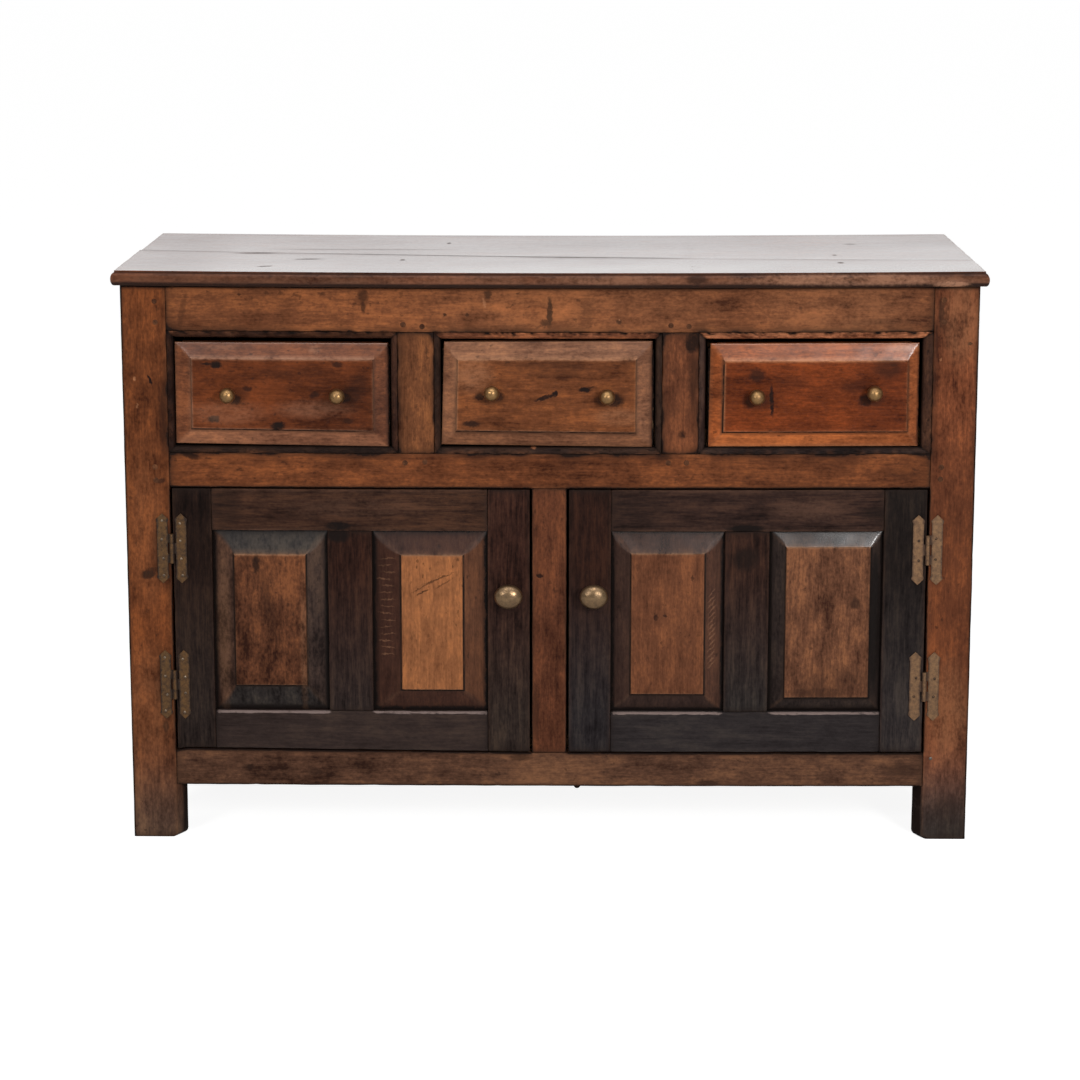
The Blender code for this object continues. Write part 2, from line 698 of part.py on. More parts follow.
def make_drawer_box(hand, face, oak, body):
    """Sides, back and bottom of a drawer; the sides are the runners and lap into the front."""
    back_of_front = FRONT + DRAWER_FRONT_BACK_FACE + SEAT_GAP
    front_of_sides = back_of_front - DRAWER_LAP
    high = (face[Z][0], face[Z][1] - DRAWER_SIDE_DROP)
    outer = [face[X], (front_of_sides, DRAWER_BACK), high]
    inside = inset(face[X], DRAWER_SIDE_THICKNESS)
    underside = high[0] + DRAWER_BOTTOM_RISE
    well_floor = underside + DRAWER_BOTTOM_THICKNESS
    past = DRAWER_SIDE_THICKNESS
    well = [inside, (back_of_front, DRAWER_BACK - DRAWER_SIDE_THICKNESS), (well_floor, high[1] + past)]
    mouth = [inside, (front_of_sides - past, back_of_front), (high[0] - past, high[1] + past)]
    under = [inside, (back_of_front - past, DRAWER_BACK + past), (high[0] - past, underside)]
    box = add_piece(f"{hand}_drawer_box", solid_block(outer), oak, body)
    cut(box, [solid_block(mouth), solid_block(well), solid_block(under)])


def drawer_knob_shape(x, y, z):
    """A turned knob on the face at y: shank, rose, waisted neck and ball, from back to front."""
    neck_end = DRAWER_KNOB_ROSE_THICKNESS + DRAWER_KNOB_NECK_LENGTH
    start = math.asin(DRAWER_KNOB_NECK_RADIUS / DRAWER_KNOB_RADIUS)
    ball_back = neck_end + DRAWER_KNOB_RADIUS
    waist = 0.8 * DRAWER_KNOB_NECK_RADIUS
    profile = [
        (-DRAWER_KNOB_SHANK_LENGTH, DRAWER_KNOB_SHANK_RADIUS),
        (0.0, DRAWER_KNOB_SHANK_RADIUS),
        (0.0, DRAWER_KNOB_ROSE_RADIUS),
        (DRAWER_KNOB_ROSE_THICKNESS, DRAWER_KNOB_ROSE_RADIUS),
        (DRAWER_KNOB_ROSE_THICKNESS, DRAWER_KNOB_NECK_RADIUS),
        ((DRAWER_KNOB_ROSE_THICKNESS + neck_end) / 2, waist),
    ]
    last = math.pi - start / 4
    for step in range(KNOB_ARC_STEPS + 1):
        turn = start + (last - start) * step / KNOB_ARC_STEPS
        out = ball_back - DRAWER_KNOB_RADIUS * math.cos(turn)
        profile.append((out, DRAWER_KNOB_RADIUS * math.sin(turn)))
    return loft([ellipse(x, y - out, z, radius, radius, KNOB_SIDES) for out, radius in profile])


def knob_hole(x, y, z, radius, depth):
    rings = (y - depth, y + depth)
    return loft([ellipse(x, at, z, radius, radius, KNOB_SIDES) for at in rings])


def make_drawer(hand, front_oak, box_oak, brass):
    face = drawer_face(hand)
    centre = sum(face[X]) / 2
    body = add_body(f"{hand}_drawer", (centre, FRONT, DRAWER_FOOT))
    front = add_piece(f"{hand}_drawer_front", drawer_front_shape(face), front_oak, body)
    cut(front, drawer_laps(face))
    make_drawer_box(hand, face, box_oak, body)
    field = FRONT - DRAWER_FIELD_PROUD
    for which, (across, up) in DRAWER_KNOB_PLACES[hand].items():
        x, z = centre + across, (DRAWER_FOOT + DRAWER_HEAD) / 2 + up
        knob = drawer_knob_shape(x, field - SEAT_GAP, z)
        add_piece(f"{hand}_drawer_{which}_knob", knob, brass, body, smooth=True)
        bored = DRAWER_KNOB_SHANK_LENGTH + SOCKET_END_GAP
        cut(front, [knob_hole(x, field, z, DRAWER_KNOB_SHANK_RADIUS + SEAT_GAP, bored)])


# Doors


def door_boards(side):
    """The five frame boards of one door, with the axis that each runs along."""
    hand = "left" if side < 0 else "right"
    hinge_edge = side * (INNER - DOOR_SIDE_GAP)
    lock_edge = side * (CENTRE_MUNTIN_WIDTH / 2 + DOOR_SIDE_GAP)
    hinge_sight = hinge_edge - side * HINGE_STILE_WIDTHS[hand]
    lock_sight = lock_edge + side * LOCK_STILE_WIDTH
    thick = (FRONT, FRONT + DOOR_THICKNESS)
    high = (DOOR_FOOT, DOOR_HEAD)
    between_stiles = inset(span(hinge_sight, lock_sight), SEAT_GAP)
    panel_foot = DOOR_FOOT + DOOR_BOTTOM_RAIL_HEIGHT
    panel_head = DOOR_HEAD - DOOR_TOP_RAIL_HEIGHT
    muntin = centred((hinge_sight + lock_sight) / 2, DOOR_MUNTIN_WIDTH)
    return {
        "hinge_stile": ([span(hinge_edge, hinge_sight), thick, high], Z),
        "lock_stile": ([span(lock_edge, lock_sight), thick, high], Z),
        "bottom_rail": ([between_stiles, thick, (DOOR_FOOT, panel_foot)], X),
        "top_rail": ([between_stiles, thick, (panel_head, DOOR_HEAD)], X),
        "muntin": ([muntin, thick, inset((panel_foot, panel_head), SEAT_GAP)], Z),
    }


def panel_openings(boards, side):
    """The sight sizes of a door's two panels, the outer one next to the hinges."""
    high = (boards["bottom_rail"][0][Z][1], boards["top_rail"][0][Z][0])
    muntin = boards["muntin"][0][X]
    hinge_stile = boards["hinge_stile"][0][X]
    lock_stile = boards["lock_stile"][0][X]
    if side < 0:
        spans = {"outer": (hinge_stile[1], muntin[0]), "inner": (muntin[1], lock_stile[0])}
    else:
        spans = {"outer": (muntin[1], hinge_stile[0]), "inner": (lock_stile[1], muntin[0])}
    return {which: [wide, None, high] for which, wide in spans.items()}


def panel_plate(opening):
    """The flat plate of a panel: its edges are the tongues that sit in the grooves."""
    tongue = centred(FRONT + DOOR_THICKNESS / 2, PANEL_TONGUE_THICKNESS)
    return [inset(opening[X], -GROOVE_DEPTH), tongue, inset(opening[Z], -GROOVE_DEPTH)]


def panel_shape(opening, bevels):
    """A fielded panel: plate, planed bevel from just inside the sight edge, step and field."""
    left, right, bottom, top = bevels
    plate = panel_plate(opening)
    sight = [inset(opening[X], GROOVE_END_GAP), None, inset(opening[Z], GROOVE_END_GAP)]
    field = [
        (opening[X][0] + left, opening[X][1] - right),
        None,
        (opening[Z][0] + bottom, opening[Z][1] - top),
    ]
    front, back = plate[Y]
    bevel_top = front - PANEL_BEVEL_RISE
    levels = [(plate, back), (plate, front), (sight, front), (field, bevel_top)]
    levels.append((field, bevel_top - PANEL_FIELD_STEP))
    return loft([rectangle(block, Y, at) for block, at in levels])


def make_door_frame(hand, side, dark_oak, body):
    """Joins the stiles, rails and muntin of one door, grooved for its two panels."""
    boards = door_boards(side)
    openings = panel_openings(boards, side)
    ends = {}
    for name in ("bottom_rail", "top_rail", "muntin"):
        frame, along = boards[name]
        length = DOOR_TENON_LENGTH if along == X else MUNTIN_TENON_LENGTH
        ends[name] = tenons(frame, along, Y, length, DOOR_TENON_THICKNESS)
    pieces = {}
    for name, (frame, along) in boards.items():
        shape = tenoned_board(frame, along, ends[name]) if name in ends else solid_block(frame)
        pieces[name] = add_piece(f"{hand}_door_{name}", shape, dark_oak, body)
    for which, opening in openings.items():
        stile = pieces["hinge_stile" if which == "outer" else "lock_stile"]
        for piece in (stile, pieces["bottom_rail"], pieces["top_rail"], pieces["muntin"]):
            cut(piece, [groove(panel_plate(opening), Y)])
    left_end, right_end = ("hinge_stile", "lock_stile") if side < 0 else ("lock_stile", "hinge_stile")
    for rail in ("bottom_rail", "top_rail"):
        cut(pieces[left_end], [socket(ends[rail][0], X)])
        cut(pieces[right_end], [socket(ends[rail][1], X)])
    cut(pieces["bottom_rail"], [socket(ends["muntin"][0], Z)])
    cut(pieces["top_rail"], [socket(ends["muntin"][1], Z)])
    return pieces, openings


def make_door(hand, side, dark_oak, panel_oak, brass, carcass):
    body = add_body(f"{hand}_door", (side * HINGE_AXIS_X, HINGE_AXIS_Y, DOOR_FOOT))
    pieces, openings = make_door_frame(hand, side, dark_oak, body)
    for which, opening in openings.items():
        name = f"{hand}_door_{which}_panel"
        add_piece(name, panel_shape(opening, PANEL_BEVELS[name]), panel_oak, body)
    make_turn_knob(hand, side, pieces["lock_stile"], brass)
    heights = {
        "upper": DOOR_HEAD - UPPER_HINGE_BELOW_DOOR_TOP,
        "lower": DOOR_FOOT + LOWER_HINGE_ABOVE_DOOR_FOOT,
    }
    for which, z in heights.items():
        make_hinge(f"{hand}_{which}_hinge", side, z, brass, carcass, body)


# Turning door knobs


def door_knob_profile():
    """(out from the door's face, half width, half height): spindle, rose, neck and an oval head."""
    tongue_back = CUPBOARD_FRONT - FRONT + TONGUE_RUNNING_GAP + TONGUE_THICKNESS
    neck_end = DOOR_KNOB_ROSE_THICKNESS + DOOR_KNOB_NECK_LENGTH
    profile = [
        (-tongue_back, SPINDLE_RADIUS, SPINDLE_RADIUS),
        (0.0, SPINDLE_RADIUS, SPINDLE_RADIUS),
        (0.0, DOOR_KNOB_ROSE_RADIUS, DOOR_KNOB_ROSE_RADIUS),
        (DOOR_KNOB_ROSE_THICKNESS, DOOR_KNOB_ROSE_RADIUS, DOOR_KNOB_ROSE_RADIUS),
        (DOOR_KNOB_ROSE_THICKNESS, DOOR_KNOB_NECK_RADIUS, DOOR_KNOB_NECK_RADIUS),
    ]
    start = math.asin(DOOR_KNOB_NECK_RADIUS / DOOR_KNOB_HALF_HEIGHT)
    last = math.pi - start / 4
    for step in range(KNOB_ARC_STEPS + 1):
        turn = start + (last - start) * step / KNOB_ARC_STEPS
        out = neck_end + DOOR_KNOB_HALF_DEPTH * (1 - math.cos(turn))
        profile.append((out, DOOR_KNOB_HALF_WIDTH * math.sin(turn), DOOR_KNOB_HALF_HEIGHT * math.sin(turn)))
    return profile


def tongue_shape(x, z, from_lock_edge):
    """The iron tongue hanging from the spindle: a bar with a round end at the spindle and a round tip."""
    length = from_lock_edge + DOOR_SIDE_GAP + TONGUE_CATCH
    half = TONGUE_WIDTH / 2
    front = CUPBOARD_FRONT + TONGUE_RUNNING_GAP
    outline = []
    for step in range(KNOB_ARC_STEPS + 1):
        turn = math.pi * step / KNOB_ARC_STEPS
        outline.append((x + half * math.cos(turn), z + half * math.sin(turn)))
    for step in range(KNOB_ARC_STEPS + 1):
        turn = math.pi * (1 + step / KNOB_ARC_STEPS)
        outline.append((x + half * math.cos(turn), z - length + half + half * math.sin(turn)))
    return loft([[(u, y, v) for u, v in outline] for y in (front, front + TONGUE_THICKNESS)])


def make_turn_knob(hand, side, lock_stile, brass):
    from_lock_edge = DOOR_KNOB_FROM_LOCK_EDGE[hand]
    x = side * (CENTRE_MUNTIN_WIDTH / 2 + DOOR_SIDE_GAP + from_lock_edge)
    z = DOOR_FOOT + DOOR_KNOB_ABOVE_DOOR_FOOT
    face = FRONT - SEAT_GAP
    latch = add_body(f"{hand}_latch", (x, FRONT, z))
    sections = [ellipse(x, face - out, z, wide, high, KNOB_SIDES) for out, wide, high in door_knob_profile()]
    knob = add_piece(f"{hand}_door_turn_knob", loft(sections), brass, latch, smooth=True)
    join(knob, [tongue_shape(x, z, from_lock_edge)])
    bored = DOOR_THICKNESS + SOCKET_END_GAP
    cut(lock_stile, [knob_hole(x, FRONT, z, SPINDLE_RADIUS + SPINDLE_CLEARANCE, bored)])


# H hinges


def leaf_shape(axis_x, direction, z):
    """One upright leaf of an H hinge: a bar that swells to a cusp and runs to a point at each end."""
    middle = axis_x + direction * (LEAF_FROM_AXIS + LEAF_CUSP_WIDTH / 2)
    half_length = HINGE_LENGTH / 2
    cusp = half_length - LEAF_TIP_HEIGHT
    neck = cusp - LEAF_NECK_HEIGHT
    right = [
        (0.0, -half_length),
        (LEAF_CUSP_WIDTH / 2, -cusp),
        (LEAF_WIDTH / 2, -neck),
        (LEAF_WIDTH / 2, neck),
        (LEAF_CUSP_WIDTH / 2, cusp),
        (0.0, half_length),
    ]
    left = [(-u, v) for u, v in reversed(right[1:-1])]
    face = FRONT - SEAT_GAP
    outline = right + left
    return loft([[(middle + u, y, z + v) for u, v in outline] for y in (face - LEAF_THICKNESS, face)])


def strap_shape(axis_x, direction, heights):
    """The short strap that runs from a leaf round to its knuckle."""
    reach = LEAF_FROM_AXIS + LEAF_CUSP_WIDTH / 2
    face = FRONT - SEAT_GAP
    return solid_block([span(axis_x, axis_x + direction * reach), (face - LEAF_THICKNESS, face), heights])


def barrel(axis_x, rings):
    """A turned barrel about the hinge's axis, from (z, radius) rings."""
    return loft([circle(axis_x, HINGE_AXIS_Y, z, radius, HINGE_SIDES) for z, radius in rings])


def make_hinge(name, side, z, brass, carcass, door):
    """A frame leaf with two knuckles and the fixed pin, and a door leaf with the knuckle between."""
    axis_x = side * HINGE_AXIS_X
    end = BARREL_LENGTH / 2
    knuckle = DOOR_KNUCKLE_LENGTH / 2
    shoulder = knuckle + KNUCKLE_GAP
    frame_leaf = add_piece(f"{name}_frame_leaf", leaf_shape(axis_x, side, z), brass, carcass, smooth=True)
    spool = [
        (z - end, BARREL_RADIUS),
        (z - shoulder, BARREL_RADIUS),
        (z - shoulder, PIN_RADIUS),
        (z + shoulder, PIN_RADIUS),
        (z + shoulder, BARREL_RADIUS),
        (z + end, BARREL_RADIUS),
    ]
    straps = [
        strap_shape(axis_x, side, (z - end, z - shoulder)),
        strap_shape(axis_x, side, (z + shoulder, z + end)),
    ]
    join(frame_leaf, [*straps, barrel(axis_x, spool)])
    door_leaf = add_piece(f"{name}_door_leaf", leaf_shape(axis_x, -side, z), brass, door, smooth=True)
    ends = (z - knuckle, z + knuckle)
    join(door_leaf, [strap_shape(axis_x, -side, ends), barrel(axis_x, [(at, BARREL_RADIUS) for at in ends])])
    bore = PIN_RADIUS + PIN_CLEARANCE
    cut(door_leaf, [barrel(axis_x, [(at, bore) for at in inset(ends, -SOCKET_END_GAP)])])


def main():
    for old in list(bpy.data.objects):
        bpy.data.objects.remove(old)
    frame_oak = paint("frame_oak", (0.16, 0.066, 0.028), 0.45)
    top_oak = paint("top_oak", (0.17, 0.085, 0.050), 0.30)
    dark_oak = paint("dark_oak", (0.026, 0.016, 0.014), 0.45)
    panel_oak = paint("panel_oak", (0.13, 0.055, 0.027), 0.50)
    front_oak = paint("drawer_front_oak", (0.19, 0.080, 0.034), 0.42)
    inner_oak = paint("inner_oak", (0.21, 0.125, 0.067), 0.75)
    brass = paint("brass", (0.52, 0.40, 0.20), 0.35, metallic=1.0)
    hinge_brass = paint("hinge_brass", (0.23, 0.155, 0.085), 0.50, metallic=1.0)
    carcass = add_body("carcass")
    make_top(carcass, top_oak)
    front_ends = make_front_frame(carcass, frame_oak, runner_tenons())
    bearer_ends = make_runners(carcass, inner_oak)
    for hand, side in (("left", -1), ("right", 1)):
        side_cuts = make_side(carcass, frame_oak, hand, side)
        bearer_end = bearer_ends[0 if side < 0 else 1]
        make_posts(carcass, frame_oak, hand, side, front_ends, bearer_end, side_cuts)
        make_door(hand, side, dark_oak, panel_oak, hinge_brass, carcass)
    make_back(carcass, inner_oak)
    make_floor(carcass, inner_oak)
    for hand in DRAWER_OPENINGS:
        make_surround(carcass, dark_oak, hand)
        make_drawer(hand, front_oak, inner_oak, brass)


main()
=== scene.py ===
import json
import math

import bpy
import numpy as np
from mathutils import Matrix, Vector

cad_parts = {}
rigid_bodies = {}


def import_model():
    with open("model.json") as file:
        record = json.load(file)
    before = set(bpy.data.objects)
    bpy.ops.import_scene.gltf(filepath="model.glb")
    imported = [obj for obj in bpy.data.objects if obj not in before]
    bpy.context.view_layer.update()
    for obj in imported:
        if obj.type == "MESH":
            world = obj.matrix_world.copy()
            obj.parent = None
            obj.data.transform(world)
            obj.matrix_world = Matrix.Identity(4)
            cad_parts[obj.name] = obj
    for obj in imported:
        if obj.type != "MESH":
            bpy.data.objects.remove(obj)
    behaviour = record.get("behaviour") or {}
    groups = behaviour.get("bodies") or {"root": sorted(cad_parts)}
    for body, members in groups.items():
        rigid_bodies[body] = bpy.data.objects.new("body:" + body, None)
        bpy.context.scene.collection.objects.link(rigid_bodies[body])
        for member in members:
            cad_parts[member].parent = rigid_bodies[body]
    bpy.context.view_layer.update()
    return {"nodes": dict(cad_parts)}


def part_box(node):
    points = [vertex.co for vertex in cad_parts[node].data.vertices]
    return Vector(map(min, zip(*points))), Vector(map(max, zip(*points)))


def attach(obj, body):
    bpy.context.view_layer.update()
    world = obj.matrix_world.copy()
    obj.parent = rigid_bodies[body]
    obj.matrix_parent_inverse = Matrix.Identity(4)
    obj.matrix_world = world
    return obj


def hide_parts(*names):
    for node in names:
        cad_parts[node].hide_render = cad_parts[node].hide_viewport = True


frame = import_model()
scene = bpy.context.scene
scene.view_settings.view_transform = "Standard"
print("frame loaded:", len(frame["nodes"]), "nodes")

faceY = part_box("front_top_rail")[0].y  # the front face of the frame and doors


# Camera, floor and light

viewSettings = {
    "lens": 103.1,
    "place": (0.0384, -4.7466, 1.3852),
    "pitchDown": 11.5715,
    "turn": 0.663,
}
camera = bpy.data.objects.new("camera", bpy.data.cameras.new("camera"))
camera.data.lens = viewSettings["lens"]
camera.data.sensor_width = 36.0
camera.data.clip_end = 200.0
camera.location = viewSettings["place"]
camera.rotation_euler = (
    math.radians(90.0 - viewSettings["pitchDown"]),
    0.0,
    math.radians(viewSettings["turn"]),
)
scene.collection.objects.link(camera)
scene.camera = camera


# Node helpers: each takes sockets or plain values and returns the socket that the next one reads


def feed(tree, value, socket):
    if isinstance(value, bpy.types.NodeSocket):
        tree.links.new(value, socket)
    else:
        socket.default_value = value


def addNode(tree, kind, inputs, **settings):
    made = tree.nodes.new(kind)
    for key, value in settings.items():
        setattr(made, key, value)
    for key, value in inputs.items():
        feed(tree, value, made.inputs[key])
    return made


def sums(tree, how, *values, clamp=False):
    made = addNode(tree, "ShaderNodeMath", {}, operation=how, use_clamp=clamp)
    for value, socket in zip(values, made.inputs):
        feed(tree, value, socket)
    return made.outputs[0]


def arrows(tree, how, *values):
    made = addNode(tree, "ShaderNodeVectorMath", {}, operation=how)
    for value, socket in zip(values, made.inputs):
        feed(tree, value, socket)
    return made.outputs["Value" if how == "LENGTH" else "Vector"]


def blendTone(tree, share, first, second, how="MIX"):
    made = addNode(tree, "ShaderNodeMix", {0: share, 6: first, 7: second}, data_type="RGBA", blend_type=how)
    return made.outputs[2]


def ease(tree, value, low, high, start=0.0, end=1.0):
    inputs = {"Value": value, "From Min": low, "From Max": high, "To Min": start, "To Max": end}
    return addNode(tree, "ShaderNodeMapRange", inputs, interpolation_type="SMOOTHSTEP").outputs["Result"]


def cloudNoise(tree, place, stretch, detail=3.0, rough=0.55):
    # noise of the place times a stretch, so that 1 / stretch is the size of a patch in metres
    inputs = {
        "Vector": arrows(tree, "MULTIPLY", place, stretch),
        "Scale": 1.0,
        "Detail": detail,
        "Roughness": rough,
    }
    return addNode(tree, "ShaderNodeTexNoise", inputs)


def newGroup(name, inputs, outputs):
    group = bpy.data.node_groups.new(name, "ShaderNodeTree")
    for side, sockets in (("INPUT", inputs), ("OUTPUT", outputs)):
        for kind, labels in sockets.items():
            for label in labels:
                group.interface.new_socket(label, in_out=side, socket_type="NodeSocket" + kind)
    given = group.nodes.new("NodeGroupInput").outputs
    result = group.nodes.new("NodeGroupOutput").inputs
    return group, given, result


def tone(red, green, blue):
    # screen colour from 0 to 255 to the linear colour that a shader takes
    share = np.array([red, green, blue]) / 255.0
    linear = np.where(share <= 0.04045, share / 12.92, ((share + 0.055) / 1.055) ** 2.4)
    return (*(float(value) for value in linear), 1.0)


studioSettings = {
    "skyLevel": 0.36,
    "roomLevel": 0.16,
    "floorTone": (0.80, 0.80, 0.80, 1.0),
    "floorGlow": 0.90,
    "floorShade": 0.30,
    "floorReach": 40.0,
    "softboxes": {
        "softboxLeft": {"place": (-2.4, -4.0, 2.3), "size": (0.9, 0.9), "power": 70.0},
        "softboxRight": {"place": (1.9, -4.2, 1.9), "size": (0.9, 1.0), "power": 118.0},
        "softboxOver": {"place": (0.0, -1.8, 3.6), "size": (2.6, 1.2), "power": 40.0},
    },
    "aim": (0.0, -0.1, 0.5),
}


def lightWorld():
    # white to the camera and to gloss, dimmer from the room in front, softer still as plain light
    world = bpy.data.worlds.new("studio")
    world.use_nodes = True
    tree = world.node_tree
    tree.nodes.clear()
    towards = addNode(tree, "ShaderNodeTexCoord", {}).outputs["Generated"]
    parts = addNode(tree, "ShaderNodeSeparateXYZ", {"Vector": towards}).outputs
    behind = ease(tree, parts["Y"], -0.5, 0.2, studioSettings["roomLevel"], 1.0)
    above = ease(tree, parts["Z"], 0.2, 0.8, studioSettings["roomLevel"], 1.0)
    gloss = sums(tree, "MAXIMUM", behind, above)
    path = addNode(tree, "ShaderNodeLightPath", {}).outputs
    shiny = sums(tree, "MAXIMUM", path["Is Glossy Ray"], path["Is Transmission Ray"])
    plain = sums(tree, "MULTIPLY", gloss, studioSettings["skyLevel"])
    level = addNode(tree, "ShaderNodeMix", {0: shiny, 2: plain, 3: gloss}).outputs[0]
    seen = addNode(tree, "ShaderNodeMix", {0: path["Is Camera Ray"], 2: level, 3: 1.0}).outputs[0]
    inputs = {"Color": (1.0, 1.0, 1.0, 1.0), "Strength": seen}
    background = addNode(tree, "ShaderNodeBackground", inputs)
    output = addNode(tree, "ShaderNodeOutputWorld", {"Surface": background.outputs[0]})
    output.is_active_output = True
    scene.world = world


def layFloor():
    # a level square, white to the camera but for the shade that falls on it
    material = bpy.data.materials.new("paleFloor")
    material.use_nodes = True
    tree = material.node_tree
    tree.nodes.clear()
    shade = studioSettings["floorShade"]
    bounce = addNode(tree, "ShaderNodeBsdfDiffuse", {"Color": studioSettings["floorTone"]})
    faint = addNode(tree, "ShaderNodeBsdfDiffuse", {"Color": (shade, shade, shade, 1.0)})
    glow = addNode(tree, "ShaderNodeEmission", {"Strength": studioSettings["floorGlow"]})
    seen = addNode(tree, "ShaderNodeAddShader", {0: faint.outputs[0], 1: glow.outputs[0]})
    path = addNode(tree, "ShaderNodeLightPath", {}).outputs
    inputs = {0: path["Is Camera Ray"], 1: bounce.outputs[0], 2: seen.outputs[0]}
    surface = addNode(tree, "ShaderNodeMixShader", inputs)
    addNode(tree, "ShaderNodeOutputMaterial", {"Surface": surface.outputs[0]})
    reach = studioSettings["floorReach"]
    corners = [(-reach, -reach, 0.0), (reach, -reach, 0.0), (reach, reach, 0.0), (-reach, reach, 0.0)]
    mesh = bpy.data.meshes.new("floor")
    mesh.from_pydata(corners, [], [(0, 1, 2, 3)])
    mesh.materials.append(material)
    floor = bpy.data.objects.new("floor", mesh)
    scene.collection.objects.link(floor)


def hangSoftboxes():
    aim = np.array(studioSettings["aim"])
    for name, box in studioSettings["softboxes"].items():
        lamp = bpy.data.lights.new(name, "AREA")
        lamp.shape = "RECTANGLE"
        lamp.size, lamp.size_y = box["size"]
        lamp.energy = box["power"]
        hung = bpy.data.objects.new(name, lamp)
        hung.location = box["place"]
        away = hung.location - type(hung.location)(aim)
        hung.rotation_euler = away.to_track_quat("Z", "Y").to_euler()
        scene.collection.objects.link(hung)


lightWorld()
layFloor()
hangSoftboxes()
print("camera, floor and light set")


# Finishes


def makeOldOak():
    # streaks along the grain, growth rings, mottling, grit and pores darken or lighten a tone, which may turn to a
    # second one (a bevel); rubbed arrises with painted highlights, grime with painted shade, and single marks lie
    # over that
    tree, given, result = newGroup(
        "oldOak",
        {
            "Vector": ["Grain"],
            "Color": ["Mid", "Second", "Rub", "Stain"],
            "Float": ["Turned", "Bands", "Mottle", "Spots", "Edge", "Grime", "Mark", "Pale", "Finish"],
        },
        {"Color": ["Color"], "Float": ["Roughness", "Height", "Streak"]},
    )
    grain = given["Grain"]
    drift = arrows(tree, "SUBTRACT", cloudNoise(tree, grain, (2.5, 9, 9), 2.0).outputs[1], (0.5, 0.5, 0.5))
    bent = arrows(tree, "ADD", grain, arrows(tree, "MULTIPLY", drift, (0.0, 0.020, 0.020)))
    bands = cloudNoise(tree, bent, (6, 105, 105), 4.0, 0.6).outputs[0]
    fibre = cloudNoise(tree, bent, (26, 480, 480), 3.0, 0.65).outputs[0]
    flecks = cloudNoise(tree, bent, (42, 250, 250), 2.0, 0.6).outputs[0]
    pores = ease(tree, cloudNoise(tree, bent, (95, 800, 800), 1.0).outputs[0], 0.56, 0.70)
    mottle = cloudNoise(tree, grain, (24, 44, 44), 4.0, 0.55).outputs[0]
    grit = cloudNoise(tree, grain, (150, 230, 230), 2.0, 0.6).outputs[0]
    cloud = cloudNoise(tree, grain, (3.5, 7.5, 7.5), 3.0).outputs[0]
    spots = ease(tree, cloudNoise(tree, grain, (85, 130, 130), 3.0, 0.5).outputs[0], 0.62, 0.71)
    spots = sums(tree, "MULTIPLY", spots, ease(tree, cloud, 0.35, 0.65))
    spots = sums(tree, "MULTIPLY", spots, given["Spots"])
    ringPlace = arrows(tree, "LENGTH", arrows(tree, "MULTIPLY", bent, (0.02, 1.0, 1.0)))
    rings = sums(tree, "SINE", sums(tree, "MULTIPLY", ringPlace, 2.0 * math.pi / 0.0065))

    def weighted(*layers):
        # sum of each layer, less its middle, times its weight
        total = None
        for value, weight in layers:
            part = sums(tree, "MULTIPLY", sums(tree, "SUBTRACT", value, 0.5), weight)
            total = part if total is None else sums(tree, "ADD", total, part)
        return total

    along = weighted((bands, 4.2), (fibre, 2.6), (flecks, 2.6))
    along = sums(tree, "MULTIPLY_ADD", rings, 0.12, along)
    patch = weighted((mottle, 3.6), (cloud, 4.4), (grit, 2.4))
    shift = sums(tree, "MULTIPLY", along, given["Bands"])
    shift = sums(tree, "MULTIPLY_ADD", patch, given["Mottle"], shift)
    feed(tree, bands, result["Streak"])
    darker = sums(tree, "MULTIPLY", shift, -0.9, clamp=True)
    lighter = sums(tree, "MULTIPLY", shift, 0.9, clamp=True)
    colour = blendTone(tree, given["Turned"], given["Mid"], given["Second"])
    colour = blendTone(tree, darker, colour, (0.26, 0.22, 0.22, 1.0), "MULTIPLY")
    colour = blendTone(tree, lighter, colour, (2.10, 2.05, 1.75, 1.0), "MULTIPLY")
    colour = blendTone(tree, sums(tree, "MULTIPLY", pores, 0.18), colour, given["Stain"])
    colour = blendTone(tree, spots, colour, given["Stain"])
    ragged = weighted((mottle, 2.2), (grit, 1.6))

    def layOver(below, lean, mask, over):
        # a torn share of the mask takes the colour that lies over
        share = sums(tree, "MULTIPLY", sums(tree, "ADD", ragged, lean, clamp=True), given[mask], clamp=True)
        return share, blendTone(tree, share, below, given[over])

    # worn arrises and painted highlights take the rub colour; grime, painted shade and dark marks take the stain
    # colour
    _, colour = layOver(colour, 0.70, "Edge", "Rub")
    dirty, colour = layOver(colour, 0.85, "Grime", "Stain")
    marked, colour = layOver(colour, 1.10, "Mark", "Stain")
    _, colour = layOver(colour, 0.80, "Pale", "Rub")
    feed(tree, colour, result["Color"])
    rough = sums(tree, "MULTIPLY_ADD", sums(tree, "ADD", dirty, marked), 0.18, given["Finish"])
    rough = sums(tree, "ADD", rough, weighted((mottle, 0.22)))
    feed(tree, sums(tree, "MULTIPLY_ADD", pores, 0.10, rough, clamp=True), result["Roughness"])
    height = weighted((fibre, 0.9), (bands, 0.5), (mottle, 1.1), (grit, 0.7))
    pits = sums(tree, "ADD", sums(tree, "MULTIPLY", pores, 0.6), sums(tree, "MULTIPLY", spots, 1.0))
    pits = sums(tree, "ADD", pits, sums(tree, "MULTIPLY", marked, 0.9))
    feed(tree, sums(tree, "SUBTRACT", height, pits), result["Height"])
    return tree


